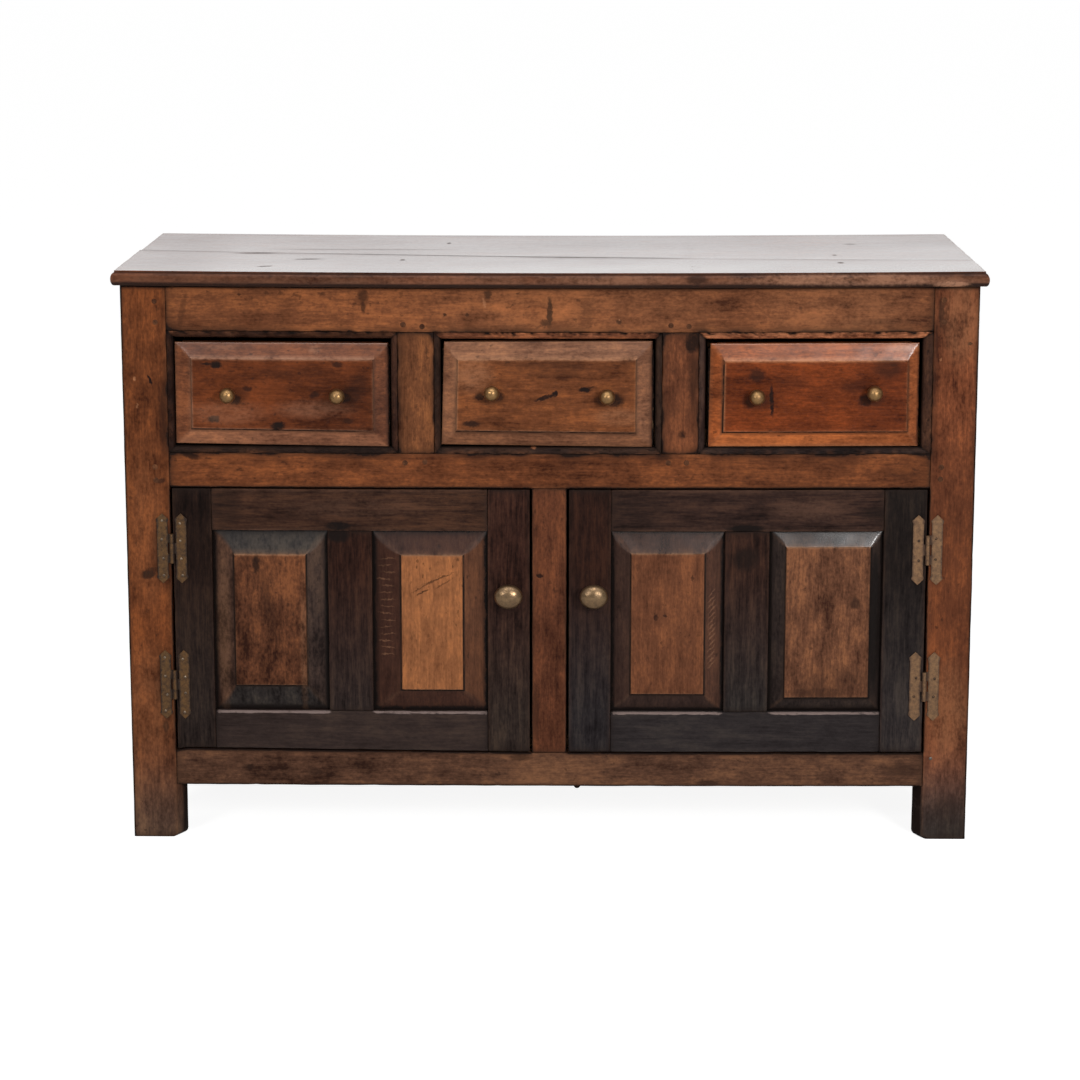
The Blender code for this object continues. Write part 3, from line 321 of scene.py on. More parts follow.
def makeMark():
    # one ragged mark: how far a place lies inside a turned oval, from 1 at its middle to 0 at its rim
    tree, given, result = newGroup(
        "agedMark",
        {"Vector": ["Place", "Centre", "Reach"], "Float": ["Turn", "Strength"]},
        {"Float": ["Mask"]},
    )
    local = arrows(tree, "SUBTRACT", given["Place"], given["Centre"])
    inputs = {"Vector": local, "Angle": given["Turn"]}
    turned = addNode(tree, "ShaderNodeVectorRotate", inputs, rotation_type="Y_AXIS").outputs[0]
    far = arrows(tree, "LENGTH", arrows(tree, "DIVIDE", turned, given["Reach"]))
    crisp = sums(tree, "MULTIPLY", given["Strength"], 0.30)
    inside = ease(tree, far, sums(tree, "ADD", crisp, 0.30), sums(tree, "SUBTRACT", 1.40, crisp), 1.0, 0.0)
    feed(tree, sums(tree, "MULTIPLY", inside, given["Strength"]), result["Mask"])
    return tree


def makeRagged():
    # the object's own place, pushed about by noise so that marks get torn outlines
    tree, given, result = newGroup("raggedPlace", {"Vector": ["Place"]}, {"Vector": ["Place"]})
    coarse = arrows(tree, "SUBTRACT", cloudNoise(tree, given["Place"], (170,) * 3, 3.0, 0.7).outputs[1], (0.5,) * 3)
    pushed = arrows(tree, "ADD", given["Place"], arrows(tree, "MULTIPLY", coarse, (0.008, 0.0, 0.008)))
    feed(tree, pushed, result["Place"])
    return tree


oldOak = makeOldOak()
agedMark = makeMark()
raggedPlace = makeRagged()


def newFinish(name):
    material = bpy.data.materials.new(name)
    material.use_nodes = True
    tree = material.node_tree
    shader = tree.nodes["Principled BSDF"]
    return material, tree, shader


def placeGroup(tree, group, inputs):
    made = tree.nodes.new("ShaderNodeGroup")
    made.node_tree = group
    for key, value in inputs.items():
        feed(tree, value, made.inputs[key])
    return made.outputs


def gatherMarks(tree, place, marks):
    # marks are (x, z, half width, half height, turn in degrees, strength); the strongest one shows
    mask = None
    for x, z, wide, high, turn, strength in marks:
        inputs = {
            "Place": place,
            "Centre": (x, 0.0, z),
            "Reach": (wide, 9.0, high),
            "Turn": math.radians(turn),
            "Strength": strength,
        }
        found = placeGroup(tree, agedMark, inputs)["Mask"]
        mask = found if mask is None else sums(tree, "MAXIMUM", mask, found)
    return mask


oakSettings = {
    "bands": 0.34,
    "mottle": 0.72,
    "spots": 0.55,
    "rub": (150, 102, 70),
    "stain": (26, 16, 12),
    "rough": 0.46,
    "shine": 0.05,
    "bump": 0.40,
    "bumpDepth": 0.0008,
}


def oakFinish(name, mid, marks=(), pale=(), second=None, lie=None, over=(), **changes):
    # lie is the turn that brings the object's own place to (along, across, through) on a board left as it was packed;
    # over are marks on a level board, with y in the place of z
    chosen = {**oakSettings, **changes}
    material, tree, shader = newFinish(name)
    inputs = {
        "Mid": tone(*mid),
        "Second": tone(*(second or mid)),
        "Rub": tone(*chosen["rub"]),
        "Stain": tone(*chosen["stain"]),
        "Bands": chosen["bands"],
        "Mottle": chosen["mottle"],
        "Spots": chosen["spots"],
        "Finish": chosen["rough"],
    }
    own = addNode(tree, "ShaderNodeTexCoord", {}).outputs["Object"]
    if lie is None:
        for label, attribute in (("Grain", "grain"), ("Edge", "edge"), ("Grime", "grime"), ("Turned", "turned")):
            read = addNode(tree, "ShaderNodeAttribute", {}, attribute_name=attribute).outputs
            inputs[label] = read["Vector" if label == "Grain" else "Fac"]
    else:
        turn = tuple(math.radians(angle) for angle in lie)
        mapping = addNode(tree, "ShaderNodeMapping", {"Vector": own, "Rotation": turn, "Location": (0.3, 0.1, 0.2)})
        inputs["Grain"] = mapping.outputs[0]
        # painted shade: a drawer box darkens towards its front, where it shows in the gap round the drawer
        if "soiled" in chosen:
            depth = addNode(tree, "ShaderNodeSeparateXYZ", {"Vector": own}).outputs["Y"]
            inputs["Grime"] = ease(tree, depth, *chosen["soiled"], 1.5, 0.0)
    if "calm" in chosen:
        # the level face is evener than the moulded edge
        even = ease(tree, inputs["Turned"], 0.0, 1.0, chosen["calm"], 1.0)
        inputs["Bands"] = sums(tree, "MULTIPLY", even, chosen["bands"])
        inputs["Mottle"] = sums(tree, "MULTIPLY", even, chosen["mottle"])
    ragged = placeGroup(tree, raggedPlace, {"Place": own})["Place"] if marks or pale else None
    for label, found in (("Mark", marks), ("Pale", pale)):
        if found:
            inputs[label] = gatherMarks(tree, ragged, found)
    if over:
        parts = addNode(tree, "ShaderNodeSeparateXYZ", {"Vector": own}).outputs
        level = addNode(tree, "ShaderNodeCombineXYZ", {"X": parts["X"], "Y": parts["Z"], "Z": parts["Y"]}).outputs[0]
        ragged = placeGroup(tree, raggedPlace, {"Place": level})["Place"]
        inputs["Mark"] = sums(tree, "MAXIMUM", inputs["Mark"], gatherMarks(tree, ragged, over))
    look = placeGroup(tree, oldOak, inputs)
    feed(tree, look["Color"], shader.inputs["Base Color"])
    feed(tree, look["Roughness"], shader.inputs["Roughness"])
    bump = {"Height": look["Height"], "Strength": chosen["bump"], "Distance": chosen["bumpDepth"]}
    feed(tree, addNode(tree, "ShaderNodeBump", bump).outputs[0], shader.inputs["Normal"])
    shader.inputs["Specular IOR Level"].default_value = chosen["shine"]
    if "polish" in chosen:
        # wax shines where the gloss says, more on the pale streaks
        wax = ease(tree, look["Streak"], 0.30, 0.66, *chosen["polish"])
        where = addNode(tree, "ShaderNodeAttribute", {}, attribute_name="gloss").outputs["Fac"]
        wax = sums(tree, "MULTIPLY", wax, where)
        if over:
            wax = sums(tree, "MULTIPLY", wax, sums(tree, "SUBTRACT", 1.0, inputs["Mark"]))
        feed(tree, wax, shader.inputs["Coat Weight"])
        shader.inputs["Coat Roughness"].default_value = chosen["polishRough"]
        shader.inputs["Coat IOR"].default_value = chosen.get("polishIor", 1.5)
    return material


def makeOldBrass():
    # bright metal where hands rub, brown tarnish in patches and in the hollows, small pits
    tree, given, result = newGroup(
        "oldBrass",
        {"Vector": ["Place"], "Color": ["Bright", "Tarnish"], "Float": ["Age", "Patchy", "Grime", "Finish"]},
        {"Color": ["Color"], "Float": ["Roughness", "Metal", "Height"]},
    )
    patch = cloudNoise(tree, given["Place"], (190,) * 3, 5.0, 0.6).outputs[0]
    fine = cloudNoise(tree, given["Place"], (900,) * 3, 3.0, 0.6).outputs[0]
    aged = sums(tree, "MULTIPLY_ADD", sums(tree, "SUBTRACT", patch, 0.5), given["Patchy"], given["Age"])
    aged = sums(tree, "ADD", aged, given["Grime"])
    aged = sums(tree, "MULTIPLY_ADD", sums(tree, "SUBTRACT", fine, 0.5), 0.6, aged, clamp=True)
    feed(tree, blendTone(tree, aged, given["Bright"], given["Tarnish"]), result["Color"])
    feed(tree, sums(tree, "MULTIPLY_ADD", aged, 0.28, given["Finish"], clamp=True), result["Roughness"])
    feed(tree, sums(tree, "MULTIPLY_ADD", aged, -0.45, 1.0), result["Metal"])
    pits = sums(tree, "MULTIPLY", fine, 0.5)
    feed(tree, sums(tree, "ADD", sums(tree, "MULTIPLY", patch, 0.6), pits), result["Height"])
    return tree


oldBrass = makeOldBrass()


def brassFinish(name, bright, tarnish, age, rough, hollow=False, bump=0.2, patchy=2.6, leaf=None):
    # leaf is (axis, middle, half width) of a hinge leaf: painted shade darkens it towards its sides and a painted
    # highlight runs along the knuckle
    material, tree, shader = newFinish(name)
    own = addNode(tree, "ShaderNodeTexCoord", {}).outputs["Object"]
    inputs = {
        "Place": own,
        "Bright": tone(*bright),
        "Tarnish": tone(*tarnish),
        "Age": age,
        "Patchy": patchy,
        "Finish": rough,
    }
    if hollow:
        inputs["Grime"] = addNode(tree, "ShaderNodeAttribute", {}, attribute_name="grime").outputs["Fac"]
    if leaf:
        axis, middle, half = leaf
        x = addNode(tree, "ShaderNodeSeparateXYZ", {"Vector": own}).outputs["X"]
        # painted shade towards the leaf's sides and a painted highlight along the knuckle
        side = ease(tree, sums(tree, "ABSOLUTE", sums(tree, "SUBTRACT", x, middle)), 0.45 * half, 1.02 * half)
        knuckle = ease(tree, sums(tree, "ABSOLUTE", sums(tree, "SUBTRACT", x, axis)), 0.0010, 0.0034, -0.7, 0.0)
        inputs["Grime"] = sums(tree, "MULTIPLY_ADD", side, 0.75, knuckle)
    look = placeGroup(tree, oldBrass, inputs)
    feed(tree, look["Color"], shader.inputs["Base Color"])
    feed(tree, look["Roughness"], shader.inputs["Roughness"])
    feed(tree, look["Metal"], shader.inputs["Metallic"])
    inputs = {"Height": look["Height"], "Strength": bump, "Distance": 0.0005}
    feed(tree, addNode(tree, "ShaderNodeBump", inputs).outputs[0], shader.inputs["Normal"])
    return material


# Surfaces: arrays of points with quads, triangles and the attributes that the finishes read


def wander(points, seed, size, waves=9):
    # sum of sine waves, each with its own direction, phase and a length near the given size; about -1 to 1
    rng = np.random.default_rng(seed)
    heading = rng.normal(size=(waves, 3))
    heading /= np.linalg.norm(heading, axis=1, keepdims=True)
    pitch = 2 * np.pi / (size * rng.uniform(0.6, 1.7, waves))
    phase = rng.uniform(0, 2 * np.pi, waves)
    return np.sin(points @ (heading * pitch[:, None]).T + phase).sum(-1) / (1.6 * math.sqrt(waves))


def spread(length, step, near):
    # places from 0 to length: the near ones at both ends, even steps between
    ends = np.array([place for place in near if place < 0.42 * length])
    count = max(2, int(round((length - 2 * ends[-1]) / step)) + 1)
    middle = np.linspace(ends[-1], length - ends[-1], count)
    return np.concatenate([ends[:-1], middle, (length - ends[:-1])[::-1]])


def ringFaces(rows, columns):
    # quads between neighbouring rows of a closed ring of columns
    row, column = np.meshgrid(np.arange(rows - 1), np.arange(columns), indexing="ij")
    after = (column + 1) % columns
    quads = np.stack([row * columns + column, row * columns + after,
                      (row + 1) * columns + after, (row + 1) * columns + column], -1)
    return quads.reshape(-1, 4)


def capFaces(ringStart, columns, pole, outward):
    # triangles from a ring to its pole; outward says which way the ring runs
    column = np.arange(columns)
    after = (column + 1) % columns
    ring = np.stack([column, after], -1) + ringStart
    ring = ring if outward else ring[:, ::-1]
    return np.column_stack([ring, np.full(columns, pole)])


def tubeFaces(rows, columns, flipped=False):
    # rows of a ring with a pole at each end; the two poles follow the ring points
    count = rows * columns
    quads = ringFaces(rows, columns)
    caps = [capFaces(0, columns, count, flipped), capFaces(count - columns, columns, count + 1, not flipped)]
    return {"quads": quads[:, ::-1] if flipped else quads, "triangles": np.concatenate(caps)}


sagSettings = {
    "foot": 0.0016,
    "footEnd": 0.08,
    "top": 0.0032,
    "topLevels": (0.60, 0.86),
    "halfSpan": 0.62,
    "lift": 0.0045,
    "liftLevels": (0.086, 0.136, 0.192),
    "liftSpan": (-0.575, -0.545, -0.035),
    "liftDepth": 0.06,
}


def settle(points):
    # the old case has sagged: a drop that is greatest in the middle, falls with the square of x, and grows upwards;
    # the foot of the left door and the rail under it rise in proportion to the distance from the middle
    x, y, z = points.T
    start, end = sagSettings["topLevels"]
    drop = sagSettings["foot"] * np.clip(z / sagSettings["footEnd"], 0, 1)
    drop = drop + (sagSettings["top"] - sagSettings["foot"]) * np.clip((z - start) / (end - start), 0, 1)
    share = np.clip(1 - (x / sagSettings["halfSpan"]) ** 2, 0, 1)
    lift = np.interp(z, sagSettings["liftLevels"], (0, 1, 0)) * (y < faceY + sagSettings["liftDepth"])
    lift = lift * np.interp(x, sagSettings["liftSpan"], (0, 1, 0))
    settled = points.copy()
    settled[:, 2] += sagSettings["lift"] * lift - drop * share
    return settled


def putPiece(name, surface, finish, body, nodes=(), sharp=38.0):
    points = settle(np.asarray(surface["points"], float).reshape(-1, 3))
    quads = np.asarray(surface.get("quads", np.zeros((0, 4))), int).reshape(-1, 4)
    triangles = np.asarray(surface.get("triangles", np.zeros((0, 3))), int).reshape(-1, 3)
    mesh = bpy.data.meshes.new(name)
    mesh.vertices.add(len(points))
    mesh.vertices.foreach_set("co", points.astype(np.float32).ravel())
    corners = np.concatenate([quads.ravel(), triangles.ravel()]).astype(np.int32)
    mesh.loops.add(len(corners))
    mesh.loops.foreach_set("vertex_index", corners)
    starts = np.concatenate([np.arange(len(quads)) * 4, 4 * len(quads) + np.arange(len(triangles)) * 3])
    mesh.polygons.add(len(starts))
    mesh.polygons.foreach_set("loop_start", starts.astype(np.int32))
    mesh.update(calc_edges=True)
    mesh.validate()
    for key in ("edge", "grime", "turned", "gloss"):
        values = np.broadcast_to(np.asarray(surface.get(key, 0.0), float), len(points))
        attribute = mesh.attributes.new(key, "FLOAT", "POINT")
        attribute.data.foreach_set("value", values.astype(np.float32))
    grain = mesh.attributes.new("grain", "FLOAT_VECTOR", "POINT")
    grain.data.foreach_set("vector", np.asarray(surface.get("grain", points), np.float32).ravel())
    mesh.shade_smooth()
    mesh.set_sharp_from_angle(angle=math.radians(sharp))
    mesh.materials.append(finish)
    piece = bpy.data.objects.new(name, mesh)
    scene.collection.objects.link(piece)
    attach(piece, body)
    if nodes:
        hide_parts(*nodes)
    return piece


boardSettings = {
    "step": 0.006,
    "faceStep": 0.016,
    "arris": 0.0011,
    "chips": 26,
    "chipDepth": 0.0022,
    "waver": 0.0005,
    "endRound": 0.0009,
    "arcs": (0.0, 30.0, 60.0, 90.0),
    "nearEnd": (0.0, 0.0003, 0.0009, 0.0022, 0.0045, 0.008, 0.012),
    "nearArris": (0.0, 0.0012, 0.0035, 0.0065, 0.010),
    "edgeWidth": 0.0022,
    "edgeAmount": 0.22,
    "grimeWidth": 0.005,
    "jointAmount": 0.70,
    "arrisDirt": 0.30,
}


def grainOffset(seed):
    # where in its log a board was cut: far along, and some centimetres from the heart
    rng = np.random.default_rng(seed + 900)
    return np.array([rng.uniform(0, 40), rng.uniform(-0.12, 0.12), rng.uniform(0.05, 0.25)])


def boardSurface(lo, hi, along, seed, stops=(), **changes):
    # a rounded rectangle carried along the board: the radius at each arris wanders and is chipped, the faces
    # dip by a slow wave, and both ends round over to a pole. stops are (from, to, corner, size) worn chamfers
    chosen = {**boardSettings, **changes}
    lo, hi = np.array(lo, float), np.array(hi, float)
    a, b = (along + 1) % 3, (along + 2) % 3
    size, centre = hi - lo, (lo + hi) / 2
    rng = np.random.default_rng(seed)
    place = spread(size[along], chosen["step"], chosen["nearEnd"])
    rows = len(place)
    # arris radii: (rows, four corners)
    phase = rng.uniform(0, 2 * np.pi, (4, 5))
    length = rng.uniform(0.02, 0.16, (4, 5))
    wave = np.sin(2 * np.pi * place[:, None, None] / length + phase).mean(-1)
    radius = chosen["arris"] * (1.0 + 0.9 * wave)
    chipAt = rng.uniform(0, size[along], (4, chosen["chips"]))
    chipWide = rng.uniform(0.002, 0.009, (4, chosen["chips"]))
    chipDeep = chosen["chipDepth"] * rng.uniform(0, 1, (4, chosen["chips"])) ** 3
    radius = radius + (chipDeep * np.exp(-(((place[:, None, None] - chipAt) / chipWide) ** 2))).sum(-1)
    for start, end, corner, wide in stops:
        from0 = np.clip((place + lo[along] - start) / 0.004, 0, 1) * np.clip((end - place - lo[along]) / 0.004, 0, 1)
        radius[:, corner] += wide * from0
    radius = np.clip(radius, 0.0002, 0.45 * min(size[a], size[b]))
    toEnd = np.minimum(place, size[along] - place)
    bite = np.clip(chosen["endRound"] - toEnd, 0, None)
    inset = chosen["endRound"] - np.sqrt(np.clip(chosen["endRound"] ** 2 - bite ** 2, 0, None))
    half = (size[[a, b]] / 2)[None, :] - inset[:, None]
    arc = np.radians(np.array(chosen["arcs"]))
    signs = ((1, 1), (-1, 1), (-1, -1), (1, -1))
    acrossParts, throughParts, normalParts = [], [], []
    starts, ends = [], []
    for corner, (su, sv) in enumerate(signs):
        turn = arc + corner * np.pi / 2
        r = radius[:, corner][:, None]
        u = su * (half[:, 0:1] - r) + r * np.cos(turn)
        v = sv * (half[:, 1:2] - r) + r * np.sin(turn)
        starts.append((u[:, :1], v[:, :1]))
        ends.append((u[:, -1:], v[:, -1:]))
        acrossParts.append(u)
        throughParts.append(v)
        normalParts.append(np.stack([np.cos(turn), np.sin(turn)], -1))
    ringU, ringV, ringN = [], [], []
    for corner in range(4):
        following = (corner + 1) % 4
        faceLong = size[a] if corner % 2 == 0 else size[b]
        share = spread(faceLong, chosen["faceStep"], chosen["nearArris"])[1:-1] / faceLong
        ringU += [acrossParts[corner], ends[corner][0] * (1 - share) + starts[following][0] * share]
        ringV += [throughParts[corner], ends[corner][1] * (1 - share) + starts[following][1] * share]
        turn = (corner + 1) * np.pi / 2
        faceNormal = np.array([math.cos(turn), math.sin(turn)])
        ringN += [normalParts[corner], np.tile(faceNormal, (len(share), 1))]
    u, v, normal = np.concatenate(ringU, 1), np.concatenate(ringV, 1), np.concatenate(ringN, 0)
    columns = u.shape[1]
    points = np.zeros((rows, columns, 3))
    points[..., along] = (lo[along] + place)[:, None]
    points[..., a] = centre[a] + u
    points[..., b] = centre[b] + v
    dip = 0.5 + 0.32 * wander(points, seed + 1, 0.11) + 0.18 * wander(points, seed + 2, 0.035)
    dip = -chosen["waver"] * np.clip(dip, 0, 1)
    points[..., a] += normal[:, 0] * dip
    points[..., b] += normal[:, 1] * dip
    reach = np.stack(np.broadcast_arrays(size[a] / 2 - np.abs(u), size[b] / 2 - np.abs(v), toEnd[:, None]), -1)
    arrisAway = np.sort(reach, -1)[..., 1]
    local = np.stack(np.broadcast_arrays(place[:, None], u, v), -1)
    poles = np.array([points[0].mean(0), points[-1].mean(0)])
    poleLocal = np.array([[0.0, 0.0, 0.0], [size[along], 0.0, 0.0]])
    edge = np.exp(-arrisAway / chosen["edgeWidth"]).ravel()
    joint = np.exp(-np.broadcast_to(toEnd[:, None], u.shape) / chosen["grimeWidth"]).ravel()
    dirtAndShade = chosen["jointAmount"] * joint + chosen["arrisDirt"] * np.exp(-arrisAway / 0.003).ravel()
    return {
        "points": np.concatenate([points.reshape(-1, 3), poles]),
        **tubeFaces(rows, columns),
        "edge": np.append(edge * chosen["edgeAmount"], [0.0, 0.0]),
        "grime": np.append(dirtAndShade, [0.4, 0.4]),
        "grain": np.concatenate([local.reshape(-1, 3), poleLocal]) + grainOffset(seed),
    }


def camel(node):
    first, *rest = node.split("_")
    return first + "".join(word.capitalize() for word in rest)


def boxOf(node, along=None, tenon=0.0):
    # a node's box, less the tenons at its two ends
    lo, hi = (np.array(corner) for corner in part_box(node))
    if along is not None:
        lo[along] += tenon
        hi[along] -= tenon
    return lo, hi


# Top: two boards with a thumbnail edge

topSettings = {
    "fillet": 0.003,
    "filletInset": 0.005,
    "noseSteps": 12,
    "step": 0.006,
    "inward": (0.004, 0.012, 0.035, 0.10, 0.30, 0.62, 1.0),
    "wear": 0.0012,
    "cup": 0.0009,
    "shortLeftEnd": 0.0025,
    "jointGap": 0.0003,
    "endPoints": 30,
    "spineFrom": 0.10,
    "edgeRub": (0.30, 0.004),  # amount, width
    "levelDip": 0.0015,
    "edgeBand": 0.0065,
    "glossJoint": 0.0040,
    "glossBack": (1.0, 0.95, 0.62),  # at the front edge, 0.1 m in and the back edge
    "glossAlong": ((-0.64, -0.25, 0.10), (0.84, 0.96, 1.0)),
    "jointGrime": 0.0045,
    # painted shadow under the nose and in the fillet step
    "underNoseShadow": (1.6, 0.0065, 0.003),  # amount, top, fade
    "filletShadow": (0.8, 0.0012),  # amount, height
    "jointAt": (-0.62, -0.38, -0.28, 0.15, 0.22, 0.62),
    "jointDark": (0.45, 0.50, 1.5, 1.5, 0.16, 0.10),
}


def topBoardSurface(frontBoard, seed):
    # the thumbnail profile carried round the board's outline, then drawn in over the top and the underside to a
    # spine; the joint side and the back keep a square edge
    front, back = boxOf("top_front_board"), boxOf("top_back_board")
    low, high = front[0][2], front[1][2]
    frontEdge, backEdge = front[0][1], back[1][1]
    jointLeft, jointRight = front[1][1], back[0][1] - topSettings["jointGap"]
    halfLong = front[1][0]
    left = -halfLong + (0.0 if frontBoard else topSettings["shortLeftEnd"])

    def jointAt(x):
        return jointLeft + (jointRight - jointLeft) * (x + halfLong) / (2 * halfLong)

    xs = np.linspace(left, halfLong, int((halfLong - left) / topSettings["step"]))
    ends = np.linspace(0, 1, topSettings["endPoints"])[1:-1]
    # outline, counter-clockwise from above: (x, share of the way from the near to the far edge, outward x, outward y)
    x = np.concatenate([xs, np.full(len(ends), halfLong), xs[::-1], np.full(len(ends), left)])
    share = np.concatenate([np.zeros(len(xs)), ends, np.ones(len(xs)), ends[::-1]])
    sideX = np.concatenate([np.zeros(len(xs)), np.ones(len(ends)), np.zeros(len(xs)), -np.ones(len(ends))])
    sideX[[0, len(xs) + len(ends) + len(xs) - 1]] = -1
    sideX[[len(xs) - 1, len(xs) + len(ends)]] = 1
    nearMoulded = 1.0 if frontBoard else 0.0
    sideY = np.where(share == 0, -nearMoulded, 0.0)
    turn = np.pi * (np.arange(topSettings["noseSteps"] + 1) / topSettings["noseSteps"] - 0.5)
    noseTop = high - topSettings["fillet"]
    inset = np.append(topSettings["filletInset"] * (1 - np.cos(turn)), [topSettings["filletInset"]] * 3)
    level = np.append(noseTop - (noseTop - low) * (1 - np.sin(turn)) / 2, [noseTop + 0.0004, high - 0.0006, high])
    inset[-1] += 0.0006
    inset[-3] += 0.0003

    def outline(into, z):
        px = x - sideX * into
        near = frontEdge + nearMoulded * into if frontBoard else jointAt(px) + topSettings["jointGap"]
        far = jointAt(px) if frontBoard else np.full(len(px), backEdge)
        return np.stack([px, near + (far - near) * share, np.full(len(px), z)], -1)

    moulded = np.stack([outline(into, z) for into, z in zip(inset, level)])
    worn = topSettings["wear"] * np.clip(wander(moulded, seed, 0.05) + 0.6 * wander(moulded, seed + 3, 0.016), 0, 1.5)
    fade = np.sin(np.pi * np.clip((moulded[..., 2] - low) / (high - low), 0.06, 1.0))[..., None] + 0.25
    moulded[..., :2] -= np.stack([np.broadcast_to(sideX, worn.shape), np.broadcast_to(sideY, worn.shape)], -1) \
        * worn[..., None] * fade
    spineX = np.clip(x, left + topSettings["spineFrom"], halfLong - topSettings["spineFrom"])

    def drawnIn(ring, amount):
        near = frontEdge if frontBoard else jointAt(spineX)
        far = jointAt(spineX) if frontBoard else backEdge
        spine = np.stack([spineX, (near + far) / 2 + 0 * spineX, ring[:, 2]], -1)
        return ring * (1 - amount) + spine * amount

    over = np.stack([drawnIn(moulded[-1], amount) for amount in topSettings["inward"]])
    over[..., 2] -= topSettings["cup"] * np.clip(0.5 + 0.5 * wander(over, seed + 5, 0.22), 0, 1) \
        * np.clip(np.array(topSettings["inward"]) * 12, 0, 1)[:, None]
    under = np.stack([drawnIn(moulded[0], amount) for amount in topSettings["inward"][::-1]])
    rings = np.concatenate([under, moulded, over])
    rows, columns = rings.shape[:2]
    points = rings.reshape(-1, 3)
    # the innermost rings fold onto the spine: front and back points of one x are the same place
    keys = np.round(points, 6)
    _, firstOf, inverse = np.unique(keys, axis=0, return_index=True, return_inverse=True)
    inverse = inverse.reshape(-1)
    quads = inverse[ringFaces(rows, columns)]
    apart = 1 + (np.diff(np.sort(quads, axis=1), axis=1) != 0).sum(1)  # corners that differ
    whole = quads[apart == 4]
    broken = quads[apart == 3]
    repeated = broken == np.roll(broken, -1, axis=1)
    triangles = broken[~repeated].reshape(-1, 3)
    points = points[firstOf]
    px, py, pz = points.T
    outward = np.minimum(halfLong - np.abs(px), np.abs(py - frontEdge) if frontBoard else 1.0)
    toJoint = np.abs(py - jointAt(px))
    jointDark = np.interp(px, topSettings["jointAt"], topSettings["jointDark"])
    rub, rubWide = topSettings["edgeRub"]
    waxed = (pz > high - 0.002) * (outward > 0.006)
    waxed = waxed * (1 - np.clip(jointDark, 0, 1) * np.exp(-toJoint / topSettings["glossJoint"]))
    waxed = waxed * np.interp(py, (frontEdge, frontEdge + 0.10, backEdge), topSettings["glossBack"])
    waxed = waxed * np.interp(px, *topSettings["glossAlong"])
    # painted shadow darkens the underside of the nose and the fillet step
    under, underTop, underFade = topSettings["underNoseShadow"]
    step, stepHigh = topSettings["filletShadow"]
    return {
        "points": points,
        "quads": whole,
        "triangles": triangles,
        "edge": rub * np.exp(-outward / rubWide) * (pz > low + rubWide),
        "turned": 1.0 * ((pz < high - topSettings["levelDip"]) | (outward < topSettings["edgeBand"])),
        "gloss": waxed * (0.96 + 0.10 * wander(points * (0.35, 1.0, 1.0), 77, 0.09)),
        "grime": jointDark * np.exp(-toJoint / topSettings["jointGrime"])
        + under * np.clip((low + underTop - pz) / underFade, 0, 1)
        + step * np.exp(-((pz - noseTop) / stepHigh) ** 2) * (outward > 0.003) * (outward < 0.007),
        "grain": np.stack([px - left, py, pz], -1) + grainOffset(seed),
    }


topFinish = {
    "mid": (131, 99, 91),
    "second": (103, 56, 35),
    "calm": 0.36,
    "rough": 0.34,
    "shine": 0.14,
    "spots": 0.5,
    "rub": (204, 148, 116),
    "stain": (54, 34, 26),
    "bump": 0.08,
    "bumpDepth": 0.0004,
    "polish": (1.0, 1.0),
    "polishRough": 0.13,
    "polishIor": 1.95,
    "over": [
        (-0.163, 0.160, 0.004, 0.012, 0, 0.9), (-0.223, -0.083, 0.005, 0.010, 0, 0.9),
        (-0.365, -0.078, 0.026, 0.007, 8, 0.95), (-0.453, -0.003, 0.036, 0.009, 6, 0.62),
        (-0.422, -0.178, 0.014, 0.006, 30, 0.95), (0.435, -0.120, 0.006, 0.010, 0, 0.9),
        (0.434, -0.017, 0.005, 0.009, 0, 0.8), (0.471, 0.137, 0.010, 0.012, 0, 0.5),
        (-0.300, 0.060, 0.16, 0.012, 2, 0.36),
    ],
    "marks": [
        (-0.56, 0.852, 0.10, 0.012, 0, 0.35), (-0.40, 0.851, 0.16, 0.008, 0, 0.30),
        (0.215, 0.853, 0.018, 0.008, 0, 0.8),
    ],
    "pale": [
        (0.44, 0.853, 0.17, 0.009, 0, 0.66), (0.585, 0.847, 0.03, 0.005, 0, 0.9), (0.10, 0.852, 0.09, 0.007, 0, 0.30),
    ],
}
for node, frontBoard, seed in (("top_front_board", True, 11), ("top_back_board", False, 12)):
    finish = oakFinish(camel(node) + "Oak", **topFinish)
    putPiece(camel(node), topBoardSurface(frontBoard, seed), finish, "carcass", [node], sharp=30.0)

# the low front softboxes are kept off the polished top, which would mirror them from behind
shaded = bpy.data.collections.new("shadedTop")
for node in ("top_front_board", "top_back_board"):
    shaded.objects.link(bpy.data.objects[camel(node)])
for held in shaded.collection_objects:
    held.light_linking.link_state = "EXCLUDE"
for name in ("softboxLeft", "softboxRight"):
    bpy.data.objects[name].light_linking.receiver_collection = shaded
print("top made")


# Carcass boards: posts, rails and muntins, with each board's tone and its own marks

